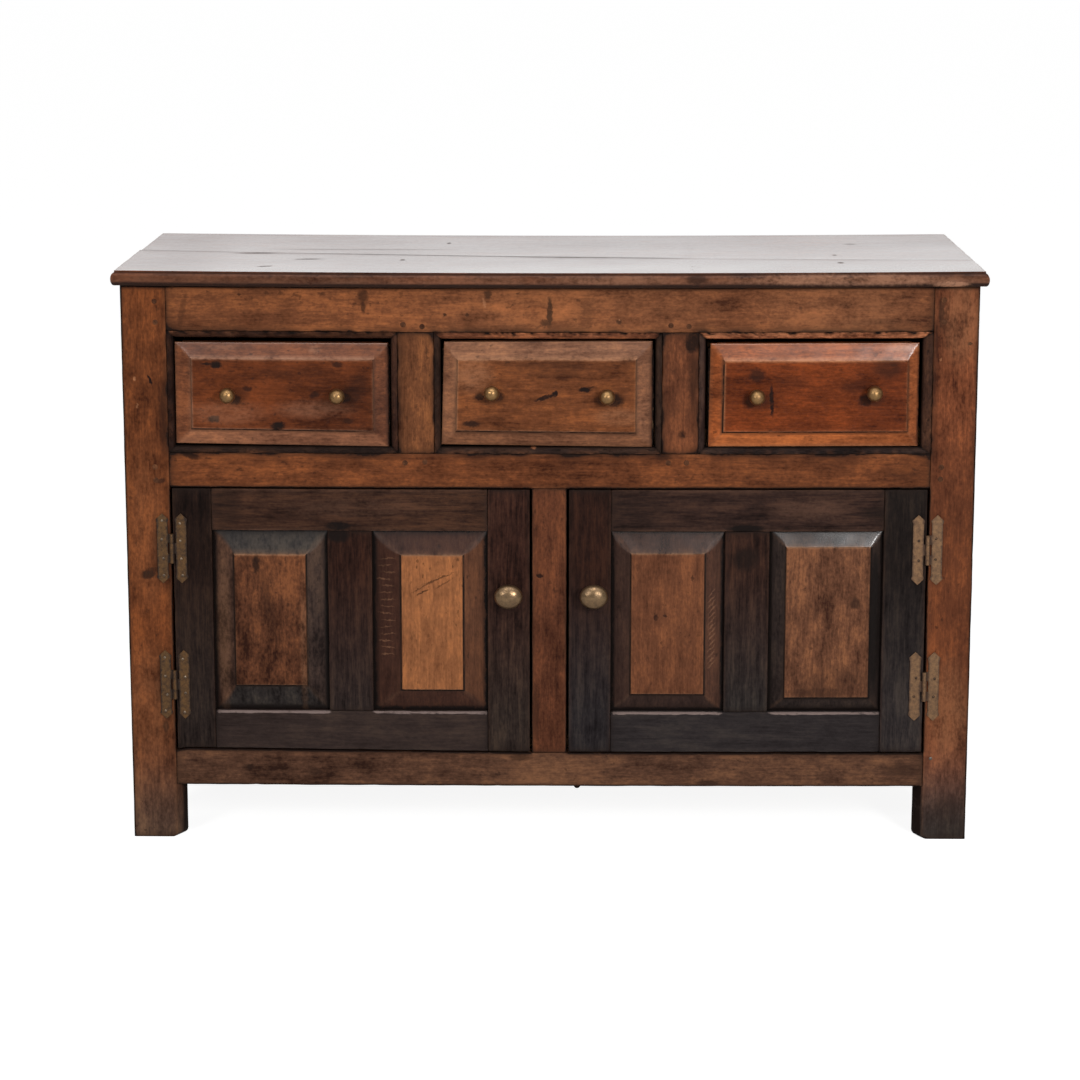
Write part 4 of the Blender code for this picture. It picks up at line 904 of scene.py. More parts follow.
carcassBoards = {
    "front_left_post": {
        "along": 2,
        "mid": (94, 51, 27),
        "second": (73, 54, 44),
        "marks": [
            (-0.5892, 0.7009, 0.0022, 0.010, 22, 1.0), (-0.5990, 0.4085, 0.0120, 0.0085, 15, 1.0),
            # the two tall ovals at x -0.5765 are dirt and painted shadow round the hinge leaves
            (-0.5890, 0.4150, 0.0120, 0.0050, 0, 0.8), (-0.5765, 0.448, 0.017, 0.060, 0, 0.62),
            (-0.5765, 0.239, 0.017, 0.060, 0, 0.55), (-0.5766, 0.5498, 0.008, 0.004, 20, 0.7),
            (-0.5783, 0.1730, 0.006, 0.010, 0, 0.6), (-0.572, 0.6430, 0.006, 0.050, 0, 0.5),
        ],
        "pale": [(-0.612, 0.7030, 0.002, 0.004, 0, 0.8), (-0.609, 0.6630, 0.0016, 0.004, 0, 0.7),
                 (-0.600, 0.2100, 0.040, 0.090, 0, 0.16), (-0.600, 0.480, 0.03, 0.12, 0, 0.10)],
    },
    "front_right_post": {
        "along": 2,
        "mid": (109, 60, 36),
        "second": (58, 52, 49),
        "marks": [
            (0.5745, 0.8024, 0.005, 0.028, 0, 0.70), (0.6176, 0.7571, 0.004, 0.003, 0, 1.0),
            (0.605, 0.0200, 0.030, 0.030, 0, 0.55), (0.597, 0.0230, 0.050, 0.025, 0, 0.40),
            # the first two marks are dirt and painted shadow round the hinge leaves
            (0.5765, 0.448, 0.016, 0.058, 0, 0.14), (0.5765, 0.239, 0.016, 0.058, 0, 0.10),
            (0.600, 0.0450, 0.026, 0.026, 0, 0.55), (0.605, 0.2030, 0.010, 0.012, 30, 0.4),
            (0.598, 0.390, 0.080, 0.240, 0, 0.43),
        ],
        "pale": [(0.575, 0.7330, 0.002, 0.003, 0, 0.8), (0.604, 0.795, 0.030, 0.070, 0, 0.30),
                 (0.600, 0.200, 0.034, 0.080, 0, 0.30)],
    },
    "back_left_post": {"along": 2, "mid": (92, 60, 42)},
    "back_right_post": {"along": 2, "mid": (92, 60, 42)},
    "front_top_rail": {
        "along": 0,
        "tenon": 0.040,
        "mid": (107, 63, 38),
        "marks": [
            (-0.470, 0.8100, 0.120, 0.050, 0, 0.16), (-0.545, 0.8000, 0.040, 0.050, 0, 0.14),
            (-0.2733, 0.8260, 0.009, 0.010, 0, 0.75), (-0.2733, 0.8110, 0.004, 0.012, 0, 0.7),
            (-0.5395, 0.8036, 0.006, 0.030, -12, 0.45), (-0.4555, 0.8281, 0.004, 0.0025, 0, 0.7),
            (0.0003, 0.8022, 0.0050, 0.026, 0, 0.95), (-0.006, 0.7870, 0.008, 0.006, 0, 0.8),
            (-0.0904, 0.8279, 0.006, 0.008, 0, 0.8), (-0.1535, 0.7986, 0.003, 0.003, 0, 0.9),
            (-0.1205, 0.7984, 0.003, 0.003, 0, 0.9), (0.1021, 0.7887, 0.005, 0.004, 0, 0.85),
            (0.0559, 0.8010, 0.010, 0.022, 0, 0.35), (0.485, 0.7890, 0.050, 0.005, 0, 0.35),
        ],
        "pale": [(-0.0959, 0.8161, 0.003, 0.009, 10, 0.8), (0.1025, 0.7910, 0.0015, 0.0015, 0, 0.9),
                 (0.050, 0.805, 0.250, 0.060, 0, 0.14), (0.420, 0.810, 0.140, 0.050, 0, 0.22)],
    },
    "front_middle_rail": {
        "along": 0,
        "tenon": 0.040,
        "mid": (94, 52, 29),
        "marks": [
            (-0.4589, 0.5666, 0.008, 0.003, 0, 0.6), (-0.5325, 0.5890, 0.018, 0.006, -18, 0.8),
            (-0.1927, 0.5672, 0.006, 0.004, 0, 0.45), (0.1682, 0.5875, 0.014, 0.007, 0, 0.55),
            (0.5250, 0.5630, 0.030, 0.012, 0, 0.35),
        ],
    },
    "front_bottom_rail": {
        "along": 0,
        "tenon": 0.040,
        "mid": (79, 53, 39),
        "marks": [
            (-0.4526, 0.1100, 0.008, 0.005, 0, 0.7), (-0.3550, 0.1030, 0.012, 0.006, 0, 0.4),
            (-0.0440, 0.1261, 0.018, 0.006, 0, 0.6), (0.5297, 0.1085, 0.030, 0.012, 0, 0.45),
            (0.240, 0.0870, 0.020, 0.005, 0, 0.6),
        ],
    },
    "left_drawer_muntin": {"along": 2, "tenon": 0.022, "mid": (98, 59, 36)},
    "right_drawer_muntin": {
        "along": 2,
        "tenon": 0.022,
        "mid": (91, 52, 33),
        "marks": [
            (0.2100, 0.7570, 0.013, 0.018, 0, 0.95), (0.1960, 0.6211, 0.006, 0.007, 0, 0.7),
            (0.2120, 0.7050, 0.008, 0.050, 0, 0.6),
        ],
    },
    "centre_muntin": {
        "along": 2,
        "tenon": 0.022,
        "mid": (80, 45, 29),
        "marks": [(-0.0138, 0.4068, 0.006, 0.004, 0, 0.9), (-0.02, 0.2030, 0.006, 0.05, 0, 0.5)],
    },
    "left_side_top_rail": {"along": 1, "tenon": 0.040, "mid": (106, 66, 44)},
    "left_side_bottom_rail": {"along": 1, "tenon": 0.040, "mid": (92, 60, 44)},
    "left_side_panel": {"along": 2, "mid": (108, 70, 48), "faceStep": 0.03, "waver": 0.0012},
    "right_side_top_rail": {"along": 1, "tenon": 0.040, "mid": (106, 66, 44)},
    "right_side_bottom_rail": {"along": 1, "tenon": 0.040, "mid": (92, 60, 44)},
    "right_side_panel": {"along": 2, "mid": (108, 70, 48), "faceStep": 0.03, "waver": 0.0012},
}


# the dark amount paints shade on the swelled inner side of each front foot, below a top level and from a share of the
# swell
footSettings = {"swell": 0.013, "setBack": 0.025, "radius": 0.008, "gap": 0.0003, "row": 0.006,
                "dark": 2.2, "darkTop": 0.09, "footShadeFrom": {"front_left_post": 0.45, "front_right_post": 0.05}}


def shapeFoot(points, lo, hi):
    # under the bottom rail the inner side steps out in proportion to the depth, up to the swell; the lower inner
    # corner is drawn in along a quarter circle
    rail = boxOf("front_bottom_rail")[0][2]
    row, gap, radius = footSettings["row"], footSettings["gap"], footSettings["radius"]
    shaped = points.copy()
    z = shaped[:, 2]
    z = np.where((z > rail - gap - row) & (z <= rail - gap), rail - gap, z)
    z = np.where((z > rail - gap) & (z <= rail - gap + row), rail + gap, z)
    towards = 1 if lo[0] < 0 else -1
    inner = hi[0] if lo[0] < 0 else lo[0]
    near = np.clip(1 - np.abs(inner - points[:, 0]) / 0.030, 0, 1)
    deep = np.interp(points[:, 1] - lo[1], (0.001, footSettings["setBack"], hi[1] - lo[1] - 0.012), (0, 1, 0))
    out = footSettings["swell"] * deep * near * (z < rail)
    low = np.clip(radius - z, 0, radius)
    pulled = (radius - np.sqrt(radius ** 2 - low ** 2)) * np.clip(1 - np.abs(inner - points[:, 0]) / 0.012, 0, 1)
    shaped[:, 0] += towards * (out - pulled)
    shaped[:, 2] = z
    return shaped


dirtAndShadeSettings = {
    # amount and reach
    "opening": (1.25, 0.0040),
    "haze": (0.40, 0.014),
    "door": (0.8, 0.003),
    # painted shadow along the gap round each door
    "doorLine": (1.2, 0.0022),
    "outer": (1.5, 0.0026),
    "foot": (1.3, 0.0026),
    # painted shadow on the rail under the overhanging top
    "under": (1.6, 0.0034),
    "doorGap": 0.002,
    "footSpan": 0.56,
    "front": 0.006,
}


def softDirt(kind, away):
    # fades with the distance
    amount, reach = dirtAndShadeSettings[kind]
    return amount * np.exp(-away / reach)


def crispDirtAndShade(kind, away):
    # fades with the square of the distance
    amount, reach = dirtAndShadeSettings[kind]
    return amount * np.exp(-(away / reach) ** 2)


def frameDirtAndShade(points, seed):
    # dirt and painted shade on the front of the frame: dirt fades with the distance outside each drawer opening and
    # round the doors, and comes and goes along them; a painted shadow lies under the top and along the gaps round the
    # doors
    x, y, z = points.T
    comes = np.clip(0.55 + 0.55 * wander(points, seed, 0.06) + 0.35 * wander(points, seed + 1, 0.02), 0, 1.2)
    dirtAndShade = np.zeros(len(points))

    def outside(left, right, bottom, top):
        across, up = np.maximum(left - x, x - right), np.maximum(bottom - z, z - top)
        return np.hypot(np.clip(across, 0, None), np.clip(up, 0, None))

    for hand in ("left", "centre", "right"):
        lo, hi = boxOf(f"{hand}_drawer_surround")
        away = outside(lo[0], hi[0], lo[2], hi[2])
        dirtAndShade = np.maximum(dirtAndShade, (softDirt("opening", away) + softDirt("haze", away)) * comes)
    for hand in ("left", "right"):
        lo, hi = (boxOf(f"{hand}_door_hinge_stile"), boxOf(f"{hand}_door_lock_stile"))
        left, right = min(lo[0][0], hi[0][0]), max(lo[1][0], hi[1][0])
        away = outside(left, right, lo[0][2], lo[1][2])
        # painted shadow on the frame along the gap round each door
        line = crispDirtAndShade("doorLine", np.clip(away - dirtAndShadeSettings["doorGap"], 0, None))
        dirtAndShade = np.maximum(dirtAndShade, softDirt("door", away) * comes + line)
    outer = boxOf("front_right_post")[1][0] - np.abs(x)
    dirtAndShade = np.maximum(dirtAndShade, crispDirtAndShade("outer", outer))
    foot = z - boxOf("front_bottom_rail")[0][2]
    dirtAndShade = np.maximum(dirtAndShade, crispDirtAndShade("foot", foot) * (np.abs(x) < dirtAndShadeSettings["footSpan"]))
    # painted shadow on the top rail under the overhang of the top
    under = boxOf("front_top_rail")[1][2] - z
    dirtAndShade = np.maximum(dirtAndShade, crispDirtAndShade("under", np.clip(under, 0, None)))
    return np.where(y < faceY + dirtAndShadeSettings["front"], dirtAndShade, 0.0)


def makeCarcassBoards():
    for number, (node, made) in enumerate(carcassBoards.items()):
        shape = {key: made[key] for key in made if key in boardSettings}
        lo, hi = boxOf(node, made["along"], made.get("tenon", 0.0))
        if node in ("front_left_post", "front_right_post"):
            inner = hi if lo[0] < 0 else lo
            inner[0] -= footSettings["swell"] * (1 if lo[0] < 0 else -1)
        surface = boardSurface(lo, hi, made["along"], 100 + 7 * number, **shape)
        if node.startswith("front") or node.endswith("muntin"):
            surface["grime"] = np.clip(surface["grime"] + frameDirtAndShade(surface["points"], 50 + number), 0, 1.6)
        if node.endswith("post"):
            if node.startswith("front"):
                before = surface["points"]
                surface["points"] = shapeFoot(before, lo, hi)
                swell = np.abs(surface["points"][:, 0] - before[:, 0]) / footSettings["swell"]
                # painted shade: the swelled inner side of each front foot stands in for the shade beside the foot and
                # is darkened
                dark = np.clip((swell - footSettings["footShadeFrom"][node]) * 4, 0, 1)
                dark = dark * (before[:, 2] < footSettings["darkTop"])
                surface["grime"] = surface["grime"] + footSettings["dark"] * dark
            foot = np.clip(1.0 - surface["points"][:, 2] / 0.20, 0, 1)
            surface["turned"] = foot * foot * (3 - 2 * foot)
        marks, pale = made.get("marks", ()), made.get("pale", ())
        finish = oakFinish(camel(node) + "Oak", made["mid"], marks, pale, made.get("second"))
        putPiece(camel(node), surface, finish, "carcass", [node])


makeCarcassBoards()
print("posts, rails and muntins made")


# Back: upright boards nailed over the frame

backSettings = {"widths": (0.168, 0.192, 0.154, 0.181, 0.163, 0.176, 0.134), "gap": 0.0003, "mid": (96, 72, 54)}


def makeBackBoards():
    lo, hi = boxOf("back_boards")
    shares = np.cumsum((0.0,) + backSettings["widths"]) / sum(backSettings["widths"])
    edges = lo[0] + (hi[0] - lo[0]) * shares
    finish = oakFinish("backOak", backSettings["mid"], rough=0.7, shine=0.15, bump=0.5, bands=0.62)
    for number, (start, end) in enumerate(zip(edges[:-1], edges[1:])):
        near = np.array([start + backSettings["gap"] / 2, lo[1] + 0.0006 * (number % 2), lo[2]])
        far = np.array([end - backSettings["gap"] / 2, hi[1], hi[2]])
        surface = boardSurface(near, far, 2, 300 + 5 * number, step=0.012, faceStep=0.03, waver=0.0008)
        nodes = ["back_boards"] if number == 0 else []
        putPiece(f"backBoard{number + 1}", surface, finish, "carcass", nodes)


makeBackBoards()
print("back made")


# Mouldings round the drawer openings: four mitred strips each, dark and worn

surroundSettings = {
    "width": 0.010,
    "depth": 0.022,
    "fall": 0.006,
    "steps": 8,
    "along": 0.004,
    "wear": {"bottom": 0.0010, "right": 0.0010, "top": 0.0024, "left": 0.0010},
    "rub": {"bottom": 0.45, "right": 0.35, "top": 1.0, "left": 0.35},
    "crust": {"bottom": 0.9, "right": 0.8, "top": 1.1, "left": 0.8},
    "crustWide": {"bottom": 0.0025, "right": 0.0025, "top": 0.0042, "left": 0.0025},
    # the inner shade is painted shade along the inner edge of each strip, beside the gap round the drawer
    "innerDark": {"bottom": 0.8, "right": 0.8, "top": 0.25, "left": 0.8},
    "wideRight": 0.0150,
    "meets": {
        "bottom": ("left", "right"), "right": ("bottom", "top"),
        "top": ("right", "left"), "left": ("top", "bottom"),
    },
}
surroundTones = {
    "left": {"bottom": (28, 17, 13), "right": (44, 26, 20), "top": (46, 26, 18), "left": (30, 15, 10)},
    "centre": {"bottom": (34, 22, 18), "right": (36, 24, 19), "top": (112, 66, 44), "left": (38, 24, 18)},
    "right": {"bottom": (36, 25, 22), "right": (50, 31, 23), "top": (172, 108, 74), "left": (46, 32, 28)},
}


def stripSurface(opening, side, seed, widths):
    # the ovolo profile carried along one side of the opening; each profile point starts and stops at its own mitre
    left, right, bottom, top = opening
    width, fall = widths[side], surroundSettings["fall"]
    before, after = surroundSettings["meets"][side]
    turn = np.linspace(0, np.pi / 2, surroundSettings["steps"] + 1)
    into = np.concatenate([[width, 0.0004], 0.0004 + (width - 0.0004) * np.sin(turn)])
    deep = np.concatenate([[surroundSettings["depth"]] * 2, fall * (1 - np.cos(turn))])
    long = right - left if side in ("bottom", "top") else top - bottom
    share = np.linspace(0, 1, int(long / surroundSettings["along"]) + 1)[:, None]
    startCut, endCut = into * widths[before] / width, into * widths[after] / width
    run = startCut + share * (long - startCut - endCut)
    rows, columns = run.shape
    flat = np.broadcast_to(into, run.shape)
    y = np.broadcast_to(faceY + deep, run.shape)
    places = {
        "bottom": (left + run, bottom + flat),
        "right": (right - flat, bottom + run),
        "top": (right - run, top - flat),
        "left": (left + flat, top - run),
    }
    x, z = places[side]
    points = np.stack([x, y, z], -1)
    worn = np.clip(0.4 + 0.9 * wander(points, seed, 0.022) + 0.7 * wander(points, seed + 1, 0.008), 0, 2)
    points[..., 1] += surroundSettings["wear"][side] * worn * (deep < fall + 0.001)
    local = np.stack(np.broadcast_arrays(run, into, deep), -1)
    poles = points[[0, -1]].mean(1)
    mitre = np.minimum(share, 1 - share) * long
    crown = np.clip(1 - into / width, 0, 1) ** 2 * (deep < fall)
    crumb = np.clip(0.55 + 0.9 * wander(points, seed + 4, 0.014) + 0.7 * wander(points, seed + 5, 0.005), 0, 1.5)
    crust = crumb * surroundSettings["crust"][side] * np.exp(-(into / surroundSettings["crustWide"][side]) ** 2)
    # painted shade along the inner edge, beside the gap round the drawer
    crust = crust + surroundSettings["innerDark"][side] * np.exp(-((width - into) / 0.0018) ** 2)
    crust = crust + 0.7 * np.exp(-mitre / 0.003)
    rubbed = crown * np.clip(wander(points, seed + 2, 0.03), 0, 1) * surroundSettings["rub"][side]
    return {
        "points": np.concatenate([points.reshape(-1, 3), poles]),
        **tubeFaces(rows, columns, flipped=True),
        "edge": np.append(rubbed.ravel(), [0, 0]),
        "grime": np.append(np.broadcast_to(crust, run.shape).ravel(), [1, 1]),
        "grain": np.concatenate([local.reshape(-1, 3), local[[0, -1]].mean(1)]) + grainOffset(seed),
    }


def makeSurrounds():
    extra = {
        ("centre", "bottom"): {"pale": [(-0.0234, 0.6006, 0.005, 0.0022, 0, 1.0)]},
    }
    for first, hand in enumerate(surroundTones):
        lo, hi = boxOf(f"{hand}_drawer_surround")
        opening = (lo[0] - 0.0003, hi[0] + 0.0003, lo[2] - 0.0003, hi[2] + 0.0003)
        for number, (side, mid) in enumerate(surroundTones[hand].items()):
            more = extra.get((hand, side), {})
            finish = oakFinish(
                f"{hand}{side.capitalize()}Moulding", mid, rub=(122, 76, 50), stain=(16, 10, 8),
                mottle=0.9, spots=0.8, rough=0.5, shine=0.05, bump=0.6, bumpDepth=0.0012, **more)
            widths = {name: surroundSettings["width"] for name in surroundTones[hand]}
            if hand == "right":
                widths["right"] = surroundSettings["wideRight"]
            surface = stripSurface(opening, side, 400 + 40 * first + 7 * number, widths)
            nodes = [f"{hand}_drawer_surround"] if number == 0 else []
            name = f"{hand}Drawer{side.capitalize()}Moulding"
            putPiece(name, surface, finish, "carcass", nodes, sharp=50.0)


makeSurrounds()
print("drawer mouldings made")


# Fielded boards: drawer fronts and door panels


def fieldedLines(start, end, bevelStart, bevelEnd, tongue, chosen, extra=()):
    # grid lines across a fielded board: tongue, bevel, step and field, close together where the shape turns
    inStart, inEnd = start + tongue, end - tongue
    bevel = np.array([0.0, 0.02, 0.08, 0.25, 0.5, 0.75, 0.92, 0.975, 1.0])
    step = np.array([0.0, 0.25, 0.6, 1.0, 1.8]) * chosen["stepWidth"]
    fieldStart, fieldEnd = inStart + bevelStart + step[-1], inEnd - bevelEnd - step[-1]
    field = spread(fieldEnd - fieldStart, chosen["fieldStep"], (0.0, 0.002)) + fieldStart
    rim = np.array([0.0, 0.0006]) if tongue == 0 else np.array([0.0, tongue * 0.9])
    lines = np.concatenate([
        start + rim[:-1],
        inStart + bevel * bevelStart,
        inStart + bevelStart + step[1:-1],
        field,
        inEnd - bevelEnd - step[1:-1],
        inEnd - bevel * bevelEnd,
        end - rim[:-1],
        np.array(extra, float),
    ])
    return np.unique(np.round(lines, 6))


def fieldedSurface(lo, hi, bevels, tongue, heights, seed, **chosen):
    # height over the plane from how far in each point lies, measured in bevel widths of the nearest side, so the
    # bevels meet in mitres: 0 at the sight edge, 1 where the step up to the field starts
    left, right, bottom, top = bevels
    edgeY, bevelY, fieldY, backY = heights
    laps = chosen.get("laps", ())
    xs = fieldedLines(lo[0], hi[0], left, right, tongue, chosen, laps)
    zs = fieldedLines(lo[2], hi[2], bottom, top, tongue, chosen)
    x, z = np.meshgrid(xs, zs, indexing="ij")
    fromLeft, fromRight = x - lo[0] - tongue, hi[0] - tongue - x
    fromFoot, fromHead = z - lo[2] - tongue, hi[2] - tongue - z
    share = np.minimum(np.minimum(fromLeft / left, fromRight / right), np.minimum(fromFoot / bottom, fromHead / top))
    past = np.minimum(np.minimum(fromLeft - left, fromRight - right), np.minimum(fromFoot - bottom, fromHead - top))
    climb = np.clip(past / chosen["stepWidth"], 0, 1)
    climb = climb * climb * (3 - 2 * climb)
    y = edgeY + (bevelY - edgeY) * np.clip(share, 0, 1) + (fieldY - bevelY) * climb
    flat = np.stack([x, 0 * x, z], -1)
    dip = np.clip(wander(flat, seed, 0.09) + 0.5 * wander(flat, seed + 1, 0.03), -1, 1)
    y += chosen["waver"] * (0.5 + 0.5 * dip) * np.clip(share * 4, 0, 1)
    rim = np.minimum(np.minimum(x - lo[0], hi[0] - x), np.minimum(z - lo[2], hi[2] - z))
    y += chosen.get("round", 0.0) * np.clip(1 - rim / 0.0012, 0, 1) ** 2
    back = np.full_like(y, backY)
    if len(laps):
        back = np.where((x < laps[1] - 1e-7) | (x > laps[2] + 1e-7), chosen["lapY"], backY)
    columns, rows = x.shape
    # corner shifts of an out-of-square board, spread evenly between the corners
    right1, up1 = (x - lo[0]) / (hi[0] - lo[0]), (z - lo[2]) / (hi[2] - lo[2])
    weight = np.stack([(1 - right1) * (1 - up1), right1 * (1 - up1), (1 - right1) * up1, right1 * up1], -1)
    strays = np.array(chosen.get("strays", ((0.0, 0.0),) * 4))
    x, z = x + weight @ strays[:, 0], z + weight @ strays[:, 1]
    front = np.stack([x, y, z], -1).reshape(-1, 3)
    behind = np.stack([x, back, z], -1).reshape(-1, 3)
    index = np.arange(columns * rows).reshape(columns, rows)
    a, b = index[:-1, :-1].ravel(), index[1:, :-1].ravel()
    c, d = index[1:, 1:].ravel(), index[:-1, 1:].ravel()
    midX, midZ = (lo[0] + hi[0]) / 2, (lo[2] + hi[2]) / 2
    centreX, centreZ = (xs[:-1] + xs[1:]) / 2, (zs[:-1] + zs[1:]) / 2
    slash = ((centreX[:, None] < midX) == (centreZ[None, :] < midZ)).ravel()
    faceA = np.where(slash[:, None], np.stack([a, b, c], -1), np.stack([a, b, d], -1))
    faceB = np.where(slash[:, None], np.stack([a, c, d], -1), np.stack([b, c, d], -1))
    shift = columns * rows
    backQuads = np.stack([a, d, c, b], -1) + shift
    loop = np.concatenate([index[:-1, 0], index[-1, :-1], index[:0:-1, -1], index[0, :0:-1]])
    after = np.roll(loop, -1)
    walls = np.stack([after, loop, loop + shift, after + shift], -1)
    sorted4 = np.sort(np.stack([fromLeft / left, fromRight / right, fromFoot / bottom, fromHead / top], -1), -1)
    mitre = np.exp(-np.abs(sorted4[..., 1] - sorted4[..., 0]) * 22) * (share < 1) * chosen["mitreEdge"]
    nearest = np.argmin(np.stack([fromLeft / left, fromRight / right, fromFoot / bottom, fromHead / top], -1), -1)
    # the field's edge is worn; the rim line is wear and a painted highlight, and the step and bevel lines below are
    # painted highlights
    arris = np.exp(-np.abs(past) / 0.0016) * chosen["fieldEdge"]
    arris = arris + np.array(chosen["rimEdge"])[nearest] * np.exp(-np.abs(rim - tongue) / 0.0014)
    rimAway = np.clip(share, 0, None) * np.array(bevels)[nearest]
    # painted shade near the sight edge, in the recess under the frame or moulding, and a painted shadow under the
    # step up to the field
    foot = np.exp(-(rimAway / 0.010)) * chosen["rimShade"]
    foot = foot + np.array(chosen["rimDark"])[nearest] * np.exp(-(rimAway / chosen["rimWide"]) ** 2)
    foot = foot + np.array(chosen["stepShadow"])[nearest] * np.exp(-((past + 0.0008) / 0.0012) ** 2)
    arris = arris + np.array(chosen["stepLight"])[nearest] * np.exp(-((past - 0.0004) / 0.0012) ** 2)
    arris = arris + np.array(chosen["bevelHighlight"])[nearest] * np.exp(-((past + 0.0020) / 0.0024) ** 2)
    turned = np.array(chosen["sides"])[nearest] * np.clip(1 - past / (0.5 * chosen["stepWidth"]), 0, 1)
    waxed = (turned > 0.01) * np.array(chosen["shineSides"])[nearest]
    along = (x - lo[0], z - lo[2]) if chosen["grainAlong"] == 0 else (z - lo[2], x - lo[0])
    local = np.stack([along[0], along[1], y - edgeY], -1).reshape(-1, 3) + grainOffset(seed)
    return {
        "points": np.concatenate([front, behind]),
        "quads": np.concatenate([backQuads, walls]),
        "triangles": np.concatenate([faceA, faceB]),
        "edge": np.concatenate([(arris + mitre).ravel(), np.zeros(shift)]),
        "grime": np.concatenate([foot.ravel(), np.full(shift, 0.2)]),
        "turned": np.concatenate([turned.ravel(), np.zeros(shift)]),
        "gloss": np.concatenate([waxed.ravel(), np.zeros(shift)]),
        "grain": np.concatenate([local, local + (0.0, 0.0, 0.02)]),
    }


drawerSettings = {
    "stepWidth": 0.0011,
    "fieldStep": 0.006,
    "waver": 0.0006,
    "round": 0.0008,
    "fieldEdge": 0.10,
    # rim, step and bevel highlights are painted highlights, partly wear at the rim; rim and step shade are painted
    # shadows in the gap round the drawer and under the field's step
    "rimEdge": (0.30, 0.0, 0.45, 0.30),
    "mitreEdge": 0.16,
    "rimShade": 0.10,
    "rimDark": (0.3, 1.0, 0.2, 0.0),
    "rimWide": 0.0026,
    "stepShadow": (0.75, 0.75, 1.3, 0.10),
    "stepLight": (0.80, 0.35, 0.55, 0.80),
    "bevelHighlight": (0.15, 0.0, 0.0, 0.55),
    "shineSides": (0.0, 0.1, 0.0, 1.0),
    "grainAlong": 0,
    "lap": 0.0103,
}
drawerFrontSettings = {"edgeBack": 0.004, "step": 0.0025, "lapDeep": 0.0102}
